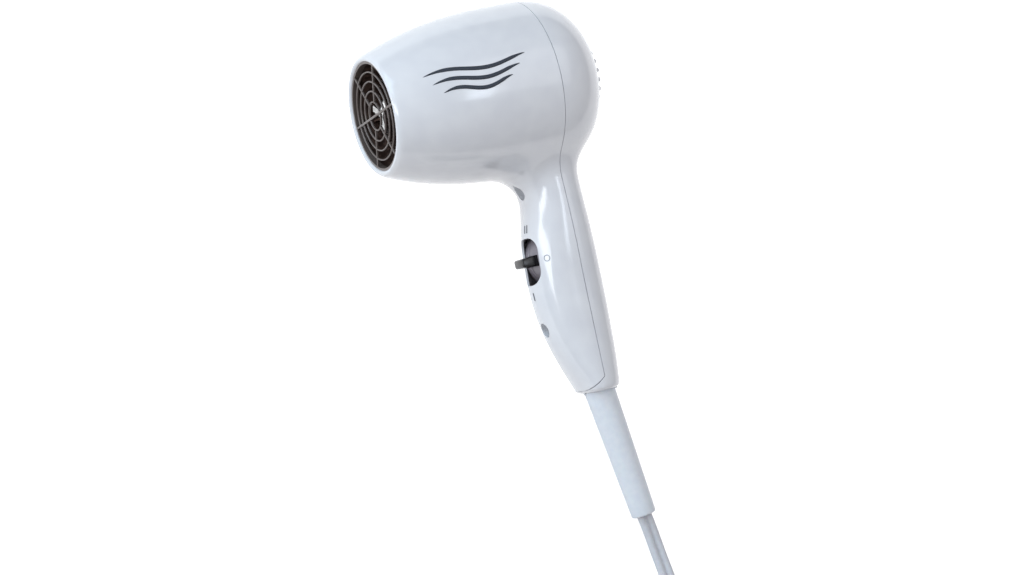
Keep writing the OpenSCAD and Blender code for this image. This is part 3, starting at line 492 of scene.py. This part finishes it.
def barrel_gap(p):
    ring_r = math.hypot(p.y, p.z)
    if p.x > 0:
        return oval_gap((p.x, DOME_L), (ring_r, BARREL_R), DOME_POWER)
    slope = NOSE_DROP * NOSE_POWER / NOSE_L * (-p.x / NOSE_L) ** (NOSE_POWER - 1)
    return (ring_r - barrel_radius(p.x)) / math.hypot(1, slope)


def soft_min(a, b, k):
    h = max(k - abs(a - b), 0) / k
    return min(a, b) - h * h * k / 4


def handle_gap(p):
    front, rear, half = grip_size(p.z)
    side = oval_gap((p.x - PART_X, front if p.x < PART_X else rear), (p.y, half), SECTION_POWER)
    return -soft_min(-side, -(TAIL_Z - p.z), TAIL_ROUND)


def skin_gap(p):
    fillet = FILLET_REAR + (FILLET - FILLET_REAR) * ease((-2 - p.x) / 12)
    return soft_min(barrel_gap(p), handle_gap(p), fillet)


def settle(p, free=(1, 1, 1), rounds=6):
    """Slides a point on to the skin along its slope, only along the free axes."""
    p, free = Vector(p), Vector(free)
    for _ in range(rounds):
        gap = skin_gap(p)
        slope = Vector([(skin_gap(p + d) - skin_gap(p - d)) / 0.02
                        for d in (Vector((0.01, 0, 0)), Vector((0, 0.01, 0)), Vector((0, 0, 0.01)))]) * free
        if abs(gap) < 1e-5 or slope.length < 1e-3:
            break
        p -= slope * min(4.0, max(-4.0, gap / slope.length_squared))
    return p


print("barrel radius at the rim", round(barrel_radius(-76), 2), "grip at the switch",
      [round(v, 1) for v in grip_size(-82.5)])

# %% Barrel grid
AROUND = 96
FRONT_COLS, REAR_COLS = 26, 14
CUT_FRONT, CUT_REAR, CUT_SIDE = 8, 7, 10              # quads left out under the barrel for the handle
shell = bmesh.new()
rim_mid = -NOSE_L + RIM_W / 2
front_x = [rim_mid + (PART_X - rim_mid) * k / FRONT_COLS for k in range(FRONT_COLS + 1)]
intake_x = DOME_L * (1 - (INTAKE_R / BARREL_R) ** DOME_POWER) ** (1 / DOME_POWER)


def evenly(points, count):
    """The polyline through the points again, as count equal pieces."""
    far = [0.0]
    for a, b in zip(points, points[1:]):
        far.append(far[-1] + (Vector(b) - Vector(a)).length)
    out, i = [], 0
    for k in range(count + 1):
        want = far[-1] * k / count
        while i < len(far) - 2 and far[i + 1] < want:
            i += 1
        t = (want - far[i]) / max(1e-9, far[i + 1] - far[i])
        out.append(Vector(points[i]).lerp(Vector(points[i + 1]), min(1.0, max(0.0, t))))
    return out


dome = evenly([(x, barrel_radius(x)) for x in
               [PART_X + (intake_x - PART_X) * math.sin(math.pi / 2 * k / 60) for k in range(61)]], REAR_COLS)
bore = [(-NOSE_L + 4.4, 26.3), (-NOSE_L + 2.4, 26.3), (-NOSE_L + 2.4, OUTLET_R), (-NOSE_L + 1.9, OUTLET_R)]
lip = [(rim_mid - RIM_W / 2 * math.cos(a), OUTLET_R + RIM_W / 2 + RIM_W / 2 * math.sin(a))
       for a in [math.radians(-90 + 22.5 * k) for k in range(8)]]
outside = [(x, barrel_radius(x)) for x in front_x] + [tuple(p) for p in dome[1:]]
spin_about_x(shell, bore + lip + outside, AROUND)
side_angle = CUT_SIDE * math.tau / AROUND
from_x, to_x = front_x[FRONT_COLS - CUT_FRONT], dome[CUT_REAR][0]


def under_barrel(f):
    c = f.calc_center_median()
    return c.z < 0 and abs(math.atan2(c.y, -c.z)) < side_angle and from_x < c.x < to_x


bmesh.ops.delete(shell, geom=[f for f in shell.faces if under_barrel(f)], context="FACES")
opening = [e for e in shell.edges if e.is_boundary and e.verts[0].co.z < 0
           and all(from_x - 0.1 < v.co.x < to_x + 0.1 for v in e.verts)]
print("the opening under the barrel has", len(opening), "edges")

# %% Handle rings, from under the barrel to the tail
FRONT_SEGS, REAR_SEGS = 2 * (CUT_FRONT + CUT_SIDE), 2 * (CUT_REAR + CUT_SIDE)
RING_TOP, RING_LOW, RINGS = -53.0, -148.4, 34


def grip_ring(z, inset=0.0):
    """Points of one ring, starting on the near side at the parting line, front half first."""
    front, rear, half = (v - inset for v in grip_size(z))
    halves = []
    for depth, count, way in ((front, FRONT_SEGS, -1), (rear, REAR_SEGS, 1)):
        arc = []
        for k in range(61):
            a = math.pi * k / 60
            arc.append((PART_X + way * depth * abs(math.sin(a)) ** (2 / SECTION_POWER),
                        way * half * math.copysign(abs(math.cos(a)) ** (2 / SECTION_POWER), math.cos(a)), z))
        halves += evenly(arc, count)[:-1]
    return halves


def add_loop(bm, points):
    verts = [bm.verts.new(p) for p in points]
    return [bm.edges.new((verts[i], verts[(i + 1) % len(verts)])) for i in range(len(verts))]


heights = [RING_TOP + (RING_LOW - RING_TOP) * k / RINGS for k in range(RINGS + 1)]
loops = [add_loop(shell, grip_ring(z)) for z in heights]
loops.append(add_loop(shell, grip_ring(TAIL_Z + 0.5, 0.6)))
loops.append(add_loop(shell, grip_ring(TAIL_Z, 2.1)))
HOLE_R = SLEEVE_R + 0.12
hole_ring = []
for p in grip_ring(TAIL_Z, 2.1):
    away = Vector((p.x - RELIEF_X, p.y)).normalized() * HOLE_R
    hole_ring.append((RELIEF_X + away.x, away.y, TAIL_Z))
loops.append(add_loop(shell, hole_ring))
loops.append(add_loop(shell, [(x + 0.4, y, z + 3) for x, y, z in hole_ring]))
for upper, lower in zip(loops, loops[1:]):
    bmesh.ops.bridge_loops(shell, edges=upper + lower)
neck = bmesh.ops.bridge_loops(shell, edges=opening + loops[0])["faces"]
ends = set(opening) | set(loops[0])
rails = list({e for f in neck for e in f.edges if e not in ends})
bmesh.ops.subdivide_edges(shell, edges=rails, cuts=4, use_grid_fill=True)
print("the bridge has", len(neck), "faces and", len(rails), "rails")

# %% Settle the skin
SEAM = 1e-3
blend_zone = [v for v in shell.verts if v.co.z < -10 and v.co.z > -62
              and abs(barrel_gap(v.co) - handle_gap(v.co)) < FILLET + 9 and v.co.x > from_x - 9]
for v in blend_zone:
    v.co = settle(v.co, (0, 1, 1) if abs(v.co.x - PART_X) < SEAM else (1, 1, 1))
for _ in range(8):
    inner = [v for v in blend_zone if abs(v.co.x - PART_X) >= SEAM and not v.is_boundary]
    on_seam = [v for v in blend_zone if abs(v.co.x - PART_X) < SEAM]
    bmesh.ops.smooth_vert(shell, verts=inner, factor=0.5, use_axis_x=True, use_axis_y=True,
                          use_axis_z=True)
    bmesh.ops.smooth_vert(shell, verts=on_seam, factor=0.5, use_axis_x=False, use_axis_y=True,
                          use_axis_z=True)
    for v in blend_zone:
        v.co = settle(v.co, (0, 1, 1) if abs(v.co.x - PART_X) < SEAM else (1, 1, 1), 3)
for v in shell.verts:
    if -62 > v.co.z > TAIL_Z + 0.2 and not v.is_boundary \
            and math.hypot(v.co.x - RELIEF_X, v.co.y) > HOLE_R + 1:
        v.co = settle(v.co, (1, 1, 0) if v.co.z > -147 else (1, 1, 1))
outward(shell)
print("the skin has", len(shell.faces), "faces")

# %% [markdown]
# ## Openings in the shell
# The front shell has a long window for the lever and two screw wells, one above it
# and one below. For each, the faces inside its outline are taken out, an outline
# with as many points is laid on the skin, and a bridge joins it to the rest. A
# well's outline is then drawn inwards to its floor.

# %% Cut the window and the wells
def oval_outline(half_w, half_h, corner, count):
    """A rounded rectangle of (y, z) points, evenly spaced."""
    points = []
    for sy, sz, start in ((1, 1, 0), (-1, 1, 90), (-1, -1, 180), (1, -1, 270)):
        for k in range(13):
            a = math.radians(start + 7.5 * k)
            points.append((sy * (half_w - corner) + corner * math.cos(a),
                           sz * (half_h - corner) + corner * math.sin(a)))
    return evenly(points + points[:1], count)[:-1]


def open_skin(bm, at_z, half_w, half_h, corner, margin):
    """Opens the front of the handle there, and returns the opening's edges."""
    inside = [f for f in bm.faces if f.calc_center_median().x < PART_X - 4
              and abs(f.calc_center_median().y) < half_w + margin
              and abs(f.calc_center_median().z - at_z) < half_h + margin]
    bmesh.ops.delete(bm, geom=inside, context="FACES")
    edge = [e for e in bm.edges if e.is_boundary and all(
        abs(v.co.y) < half_w + margin + 3 and abs(v.co.z - at_z) < half_h + margin + 4 and v.co.x < PART_X - 4
        for v in e.verts)]
    outline = [settle((-16, y, at_z + z), (1, 0, 0), 12)
               for y, z in oval_outline(half_w, half_h, corner, len(edge))]
    hole = add_loop(bm, outline)
    bmesh.ops.bridge_loops(bm, edges=edge + hole)
    print("opening at", at_z, "with", len(edge), "edges")
    return hole


SWITCH_Z, WINDOW_W, WINDOW_H = -82.5, 18.2, 22.5
WELLS, WELL_D, WELL_FLOOR = (-49.5, -116.0), 7.2, -5.0
open_skin(shell, SWITCH_Z, WINDOW_W / 2, WINDOW_H / 2, 6.6, 1.4)
for well_z in WELLS:
    hole = open_skin(shell, well_z, WELL_D / 2, WELL_D / 2, WELL_D / 2 - 0.01, 1.4)
    made = bmesh.ops.extrude_edge_only(shell, edges=hole)["geom"]
    rim_verts = [g for g in made if isinstance(g, bmesh.types.BMVert)]
    for v in rim_verts:
        v.co.x = WELL_FLOOR
    floor_edges = [g for g in made if isinstance(g, bmesh.types.BMEdge)
                   and all(v in rim_verts for v in g.verts)]
    bmesh.ops.contextual_create(shell, geom=floor_edges)
outward(shell)

# %% [markdown]
# ## The seam
# The seam follows the widest line of the barrel and handle. At the tail it turns
# forward along a crease, because the rear cover wraps right round the lead's exit.
# Two cuts, a hair apart, part the skin there, and each half gets its wall, a small
# round on its edges, and a level of subdivision.

# %% Part the skin and give each half its wall
SEAM_HALF, CREASE_Z, CREASE_TILT, SHELL_WALL, EDGE_ROUND = 0.16, -143.3, math.radians(36), 1.1, 0.28
crease_way = Vector((-math.sin(CREASE_TILT), 0, math.cos(CREASE_TILT)))
crease_at = Vector((PART_X, 0, CREASE_Z))


def half_shell(name, is_front, stands_for):
    """Cuts that half out of the skin, and lists its wall, its round edges and its subdivision."""
    half = shell.copy()
    shift = -SEAM_HALF if is_front else SEAM_HALF
    cuts = ((Vector((PART_X + shift, 0, 0)), Vector((1, 0, 0))), (crease_at - crease_way * shift, crease_way))
    for at, way in cuts:
        near = [f for f in half.faces if way.x == 1 or f.calc_center_median().z < CREASE_Z + 12]
        geom = list({*near, *[e for f in near for e in f.edges], *[v for f in near for v in f.verts]})
        bmesh.ops.bisect_plane(half, geom=geom, plane_co=at, plane_no=way, dist=1e-4)
    drop = []
    for f in half.faces:
        c = f.calc_center_median()
        front = c.x < cuts[0][0].x and (c - cuts[1][0]).dot(crease_way) > 0
        if front != is_front:
            drop.append(f)
    bmesh.ops.delete(half, geom=drop, context="FACES")
    made = piece(name, half, "housing", white_abs, stands_for, sharp=180)
    wall = made.modifiers.new("wall", "SOLIDIFY")
    wall.thickness, wall.offset, wall.use_even_offset = SHELL_WALL * MM, -1, False
    edge = made.modifiers.new("edges", "BEVEL")
    edge.width, edge.segments = EDGE_ROUND * MM, 2
    edge.limit_method, edge.angle_limit = "ANGLE", math.radians(50)
    fine = made.modifiers.new("fine", "SUBSURF")
    fine.levels = fine.render_levels = 1


half_shell("front_shell_skin", True, ("front_shell",))
half_shell("rear_cover_skin", False, ("rear_cover",))
shell.free()

# %% [markdown]
# ## The outlet grille
# A ring grille of heat-proof plastic keeps fingers off the heater: four thin rings
# in a frame, one bar right across and two that stop at the inner ring. The rings
# are small ovals spun about X, and each bar is a bevelled box turned into place.

# %% Outlet grille
GRILLE_RINGS, BAR_TURN = (6.7, 11.7, 16.3, 20.8), -4.5
SEAT_X = (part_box("outlet_grille")[0].x - middle.x) / MM
GRILLE_X, FRAME_X, FRAME_R, SEAT_R = SEAT_X - 0.7, SEAT_X - 1.3, 24.8, 26.2


def oval_ring(bm, x, radius, half_x, half_r, steps=72, points=8):
    """A ring of oval section about X."""
    section = [(x + half_x * math.cos(math.tau * k / points),
                radius + half_r * math.sin(math.tau * k / points))
               for k in range(points)]
    spin_about_x(bm, section, steps, closed=True)


def bar(bm, inner, outer, half_w, x_from, x_to, turned, edge=0.3):
    """A bevelled bar along Y from one radius to another, turned about X by degrees."""
    made = bmesh.ops.create_cube(bm, size=1.0)["verts"]
    bmesh.ops.scale(bm, verts=made, vec=(x_to - x_from, outer - inner, 2 * half_w))
    bmesh.ops.translate(bm, verts=made, vec=((x_from + x_to) / 2, (inner + outer) / 2, 0))
    bmesh.ops.rotate(bm, verts=made, cent=(0, 0, 0), matrix=Matrix.Rotation(math.radians(turned), 3, "X"))
    lines = list({e for v in made for e in v.link_edges})
    bmesh.ops.bevel(bm, geom=lines, offset=edge, segments=2, profile=0.5, affect="EDGES", material=-1)


grille = bmesh.new()
for radius in GRILLE_RINGS:
    oval_ring(grille, GRILLE_X, radius, 0.6, 0.42)
spin_about_x(grille, [(FRAME_X, FRAME_R), (FRAME_X, SEAT_R), (SEAT_X + 2, SEAT_R), (SEAT_X + 2, FRAME_R)], 96,
             closed=True)
bar(grille, -25, 25, 0.55, GRILLE_X - 0.75, GRILLE_X + 0.6, BAR_TURN)
for k in (1, 2):
    for way in (0, 180):
        bar(grille, GRILLE_RINGS[0] - 0.3, 25, 0.4, GRILLE_X - 0.6, GRILLE_X + 0.6, BAR_TURN - 60 * k + way)
outward(grille)
piece("outlet_grille_rings", grille, "housing", taupe_pbt, ("outlet_grille",), sharp=50)

# %% [markdown]
# ## The intake grille
# The air comes in at the back through a grille of 24 ribs that follow the dome and
# stand proud of it. One rib is a strip laid under the dome's curve, given its
# thickness and a rounded crest, and spun into 24 copies. Two rings tie them.

# %% Intake grille
RIB_PROUD, RIB_W, RIB_DEPTH, RIBS = 1.5, 2.4, 3.4, 24
RIB_FROM, RIB_LONG, RIB_DROP_R, TAPER_R, HUB_R = 2.4, 17.2, 18.4, 18, 3.1


def dome_x(radius, proud=0.0):
    return DOME_L * (1 - (radius / BARREL_R) ** DOME_POWER) ** (1 / DOME_POWER) + proud


intake = bmesh.new()
strip = bmesh.ops.create_grid(intake, x_segments=10, y_segments=1, size=1)["verts"]
for v in strip:
    radius = RIB_FROM + (v.co.x + 1) / 2 * RIB_LONG
    drop = 0.5 * max(0.0, (radius - RIB_DROP_R) / 0.6) ** 2
    crest_x = dome_x(radius, RIB_PROUD + 0.6 * min(1.0, radius / 15) - drop)
    v.co = (crest_x - (RIB_DEPTH - drop) * (v.co.y < 0), radius, -RIB_W / 2)
thick = bmesh.ops.extrude_face_region(intake, geom=intake.faces[:])["geom"]
bmesh.ops.translate(intake, verts=[g for g in thick if isinstance(g, bmesh.types.BMVert)], vec=(0, 0, RIB_W))
crest = [e for e in intake.edges if all(v.co.x > dome_x(min(20, abs(v.co.y)), -0.5) for v in e.verts)
         and abs(e.verts[0].co.z - e.verts[1].co.z) < 0.01]
bmesh.ops.bevel(intake, geom=crest, offset=0.8, segments=3, profile=0.5, affect="EDGES", material=-1)
for v in intake.verts:
    v.co.z *= 0.2 + 0.8 * min(1.0, v.co.y / TAPER_R)      # each rib narrows toward the middle
bmesh.ops.spin(intake, geom=intake.verts[:] + intake.edges[:] + intake.faces[:], axis=(1, 0, 0),
               cent=(0, 0, 0), angle=math.tau * (RIBS - 1) / RIBS, steps=RIBS - 1, use_duplicate=True)
for radius in (8.0, 14.0):
    oval_ring(intake, dome_x(radius) - 0.6, radius, 1.2, 0.7)
spin_about_x(intake, [(dome_x(20) - 2.6, 18.5), (dome_x(20) - 2.6, 19.85), (dome_x(20) + 0.1, 19.85),
                      (dome_x(19.2, 0.35), 19.3), (dome_x(18.5, 0.2), 18.5)], 96, closed=True)
spin_about_x(intake, [(29.8, 0), (29.8, HUB_R), (35.2, HUB_R), (35.8, HUB_R - 0.5), (36.0, 0)], 32)
outward(intake)
piece("intake_grille_ribs", intake, "housing", white_abs, ("intake_grille",), sharp=35)

# %% [markdown]
# ## The heater's coils
# Behind the grille, fine coils of resistance wire are wound round the mica boards.
# Each is a helix bent into a ring. A curve with a round bevel carries the wire,
# because its shape is a line with a thickness.

# %% Heater coils
MICA_FRONT = (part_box("heater_board_a")[0].x - middle.x) / MM
MICA_END = (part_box("heater_board_a")[1].x - middle.x) / MM
RING_PITCH = (MICA_END - MICA_FRONT) / 9
COIL_RING_R, HELIX_R, WIRE_R = 23.3, 0.85, 0.2
HELIX_TURNS, HELIX_POINTS = 84, 6


def heater_coil(name, first, last, node):
    data = bpy.data.curves.new(name, "CURVE")
    data.dimensions, data.bevel_depth, data.bevel_resolution = "3D", WIRE_R * MM, 0
    for ring_number in range(first, last + 1):
        x = MICA_FRONT + RING_PITCH * (ring_number + 1)
        wire = data.splines.new("POLY")
        wire.use_cyclic_u = True
        count = HELIX_TURNS * HELIX_POINTS
        wire.points.add(count - 1)
        for k in range(count):
            around, twist = math.tau * k / count, math.tau * k / HELIX_POINTS
            reach = COIL_RING_R + HELIX_R * math.cos(twist)
            at = (x + HELIX_R * math.sin(twist), reach * math.cos(around), reach * math.sin(around))
            wire.points[k].co = (*(LAID_DOWN @ Vector(at)), 1)
    data.materials.append(nichrome)
    made = bpy.data.objects.new(name, data)
    bpy.context.scene.collection.objects.link(made)
    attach(made, "housing")
    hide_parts(node)
    print(name, "has", last - first + 1, "rings")


heater_coil("heater_coil_main_wire", 0, 5, "heater_coil_main")
heater_coil("heater_coil_low_wire", 6, 7, "heater_coil_low")

# %% [markdown]
# ## The switch lever
# The lever turns on a pin across the handle. A curved shield moves with it and
# closes the window at every position, and a flat finger stands out of the window.
# The shield is a strip spun about the pin, and the finger a tapered, bevelled box.

# %% Lever shield
PIVOT = Vector((2.0, 0, SWITCH_Z))
SHIELD_R, SHIELD_T, SHIELD_HALF_W, SHIELD_HALF = 15.4, 1.2, 9.3, 61.9
shield = bmesh.new()
section = [(-(SHIELD_R - SHIELD_T), -SHIELD_HALF_W), (-SHIELD_R + 0.3, -SHIELD_HALF_W),
           (-SHIELD_R, -SHIELD_HALF_W + 0.3), (-SHIELD_R, 3.4),
           (-SHIELD_R + 0.35, 3.6), (-SHIELD_R + 0.35, 3.9),
           (-SHIELD_R, 4.1), (-SHIELD_R, SHIELD_HALF_W - 0.3), (-SHIELD_R + 0.3, SHIELD_HALF_W),
           (-(SHIELD_R - SHIELD_T), SHIELD_HALF_W)]
points = [shield.verts.new((x, y, 0)) for x, y in section]
start = shield.faces.new(points)
bmesh.ops.rotate(shield, verts=points, cent=(0, 0, 0),
                 matrix=Matrix.Rotation(math.radians(-SHIELD_HALF), 3, "Y"))
bmesh.ops.spin(shield, geom=points + start.edges[:] + [start], axis=(0, 1, 0), cent=(0, 0, 0),
               angle=math.radians(2 * SHIELD_HALF), steps=40)
outward(shield)
bmesh.ops.translate(shield, verts=shield.verts, vec=PIVOT)
piece("switch_shield", shield, "lever", grey_nylon, ("switch_lever",), sharp=45)

# %% Lever finger
REACH = 23.6
finger = bmesh.new()
box = bmesh.ops.create_cube(finger, size=2.0)["verts"]
for v in box:
    tip = v.co.x < 0
    v.co = (-REACH if tip else -SHIELD_R + 1.0, v.co.y * (4.9 if tip else 5.3), v.co.z * (2.1 if tip else 2.8))
bmesh.ops.bevel(finger, geom=finger.edges[:], offset=0.95, segments=4, profile=0.5, affect="EDGES",
                material=-1)
outward(finger)
bmesh.ops.translate(finger, verts=finger.verts, vec=PIVOT)
piece("switch_finger", finger, "lever", black_nylon, sharp=60)

# %% [markdown]
# ## Printed marks
# The maker pad-prints the switch's positions beside the window and a mark on the
# barrel. Here they are generic: two strokes, a ring and one stroke for the switch,
# and three lines of moving air on the barrel. Each is a thin film that follows the
# skin, a twentieth of a millimetre above it.

# %% Printed marks
FILM = 0.05


def on_skin(centre, offsets):
    """Points at (along, up) offsets from a centre on the skin, laid on to the skin."""
    slope = Vector([skin_gap(centre + d) - skin_gap(centre - d)
                    for d in (Vector((0.05, 0, 0)), Vector((0, 0.05, 0)), Vector((0, 0, 0.05)))]).normalized()
    along = Vector((0, 0, 1)).cross(slope).normalized()
    up = slope.cross(along)
    return [settle(centre + along * a + up * b) + slope * FILM for a, b in offsets]


def stroke(bm, centre, a, b, half_a, half_b):
    made = bmesh.ops.create_grid(bm, x_segments=2, y_segments=8, size=1)["verts"]
    for v, p in zip(made, on_skin(centre, [(a + v.co.x * half_a, b + v.co.y * half_b) for v in made])):
        v.co = p


def printed(name, bm, ink):
    bmesh.ops.recalc_face_normals(bm, faces=bm.faces)
    made = piece(name, bm, "housing", ink)
    film = made.modifiers.new("film", "SOLIDIFY")
    film.thickness, film.offset = 0.04 * MM, 0


strokes = bmesh.new()
top_mark = settle((-17, -1.2, -66.9), (1, 0, 0), 12)
low_mark = settle((-17, -0.8, -99.2), (1, 0, 0), 12)
for a in (-1.1, 1.1):
    stroke(strokes, top_mark, a, 0, 0.42, 1.9)
stroke(strokes, low_mark, 0, 0, 0.42, 1.9)
printed("position_marks", strokes, mark_ink)
off_ring = bmesh.new()
off_at = settle((-12, -12.4, -82.5), (1, 0, 0), 12)
circles = [add_loop(off_ring, on_skin(off_at, [(r * math.cos(math.tau * k / 40), r * math.sin(math.tau * k / 40))
                                               for k in range(40)])) for r in (1.25, 1.6)]
bmesh.ops.bridge_loops(off_ring, edges=circles[0] + circles[1])
printed("off_mark", off_ring, pale_ink)

# %% Air lines on the barrel
AIR_FROM, AIR_TO, AIR_TOP, AIR_RISE, AIR_SWING, AIR_HALF = -62.0, -12.0, 10.4, 4.6, 1.5, 0.95
air = bmesh.new()
for row, (late, short) in enumerate(((0, 0), (3, 4), (7, 9))):
    made = bmesh.ops.create_grid(air, x_segments=60, y_segments=2, size=1)["verts"]
    for v in made:
        t = (v.co.x + 1) / 2
        x = AIR_FROM + late + (AIR_TO - short - AIR_FROM - late) * t
        half = AIR_HALF * min(1.0, 5 * t, 7 * (1 - t)) ** 0.6 * (0.75 + 0.25 * math.sin(math.pi * t))
        wave = 1.2 * (t - 0.5) + AIR_SWING * math.sin(math.tau * (1.15 * t + 0.05))
        z = AIR_TOP - AIR_RISE * row + wave + half * v.co.y
        r = barrel_radius(x) + FILM
        v.co = (x, -math.sqrt(r * r - z * z), z)
printed("air_lines_mark", air, mark_ink)

# %% [markdown]
# ## The plug and the tie
# The plug is a moulded box with a trip switch inside, two blades, and a test and a
# reset button. Its CAD solids have the right shape but razor edges, so each one is
# copied, its doubles are merged, and a fine bevel rounds every edge.

# %% Rounded copies of the plug's solids
def softened(node, name, body, finish, width):
    """A copy of a CAD solid with its edges rounded by width mm."""
    bm = bmesh.new()
    bm.from_mesh(frame["nodes"][node].data)
    bmesh.ops.remove_doubles(bm, verts=bm.verts, dist=2e-5)
    bmesh.ops.dissolve_limit(bm, angle_limit=math.radians(1), verts=bm.verts[:], edges=bm.edges[:])
    made = piece(name, bm, body, finish, (node,), Matrix.Identity(4), sharp=180)
    edge = made.modifiers.new("edges", "BEVEL")
    edge.width, edge.segments, edge.limit_method, edge.angle_limit = width * MM, 3, "ANGLE", math.radians(35)
    edge.harden_normals = True
    return made


plug_pieces = [
    softened("plug_body", "plug_base", "housing", plug_abs, 1.0),
    softened("plug_cover", "plug_lid", "housing", plug_abs, 1.0),
    softened("plug_blades", "plug_prongs", "housing", brass, 0.25),
    softened("test_button", "test_key_cap", "test_key", blue_abs, 0.5),
    softened("reset_button", "reset_key_cap", "reset_key", red_abs, 0.5),
    softened("cord_tie", "lead_tie", "housing", dark_resin, 0.4),
] + [frame["nodes"][n] for n in ("plug_screws", "plug_board", "trip_relay", "test_spring", "reset_spring")]

# %% Plug's strain relief
# A ribbed nylon-like sleeve: its grooves let it bend, and it is spun like the other.
plug_split = (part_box("plug_body")[1].z - 0) / MM
plug_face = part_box("plug_body")[1].x / MM
boot = bmesh.new()
boot_profile = [(-4, 5.0), (0, 5.0), (1.5, 5.0)]
for k in range(6):
    x0, r0 = 2.5 + 3.1 * k, 5.0 - 0.09 * k
    boot_profile += [(x0, r0), (x0 + 0.25, r0 - 0.8), (x0 + 1.0, r0 - 0.8), (x0 + 1.25, r0)]
boot_profile += [(21.4, 4.4), (22, 3.9), (22, 3.6)]
spin_about_x(boot, boot_profile, 48)
outward(boot)
bmesh.ops.translate(boot, verts=boot.verts, vec=(plug_face, -298, plug_split))
plug_pieces.append(piece("plug_boot", boot, "housing", sleeve_vinyl, ("plug_strain_relief",),
                         UPRIGHT, 40))

# %% [markdown]
# ## Finishes of the CAD pieces that stay
# What is left inside the dryer is shown as the CAD made it. Each solid takes the
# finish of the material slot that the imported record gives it.

# %% Give every CAD node that still shows its finish
SLOT_FINISH = {
    "white_shell": white_abs, "grille_taupe": taupe_pbt, "lint_mesh": lint_wire, "steel_screw": zinc_steel,
    "mica": mica, "nichrome": nichrome, "plated_steel": bright_steel, "duct_plastic": cream_nylon,
    "black_plastic": dark_resin, "magnet": ferrite, "brass": brass, "carbon": carbon,
    "circuit_board": laminate, "copper": copper, "switch_grey": grey_nylon, "wire_jacket": wire_jacket,
    "relief_vinyl": sleeve_vinyl, "cord_vinyl": lead_vinyl, "plug_white": plug_abs, "test_blue": blue_abs,
    "reset_red": red_abs}
slot_of = {part["node"]: part["material_slot"] for part in frame["record"]["subparts"]}
shown = [n for n, o in frame["nodes"].items() if not o.hide_render]
for name in shown:
    materials = frame["nodes"][name].data.materials
    materials.clear()
    materials.append(SLOT_FINISH[slot_of[name]])
# The three-armed bracket just behind the grille is bright tin plate, which catches
# what light comes in past the rings.
tin_plate = grained("steel_tin_plated", ("#EDEDEB", "#FAFAF8"), 0.8, (0.30, 0.45), 0.004, Metallic=1.0)
frame["nodes"]["heater_bracket"].data.materials[0] = tin_plate
print(len(shown), "CAD pieces carried over:", ", ".join(sorted(shown)))
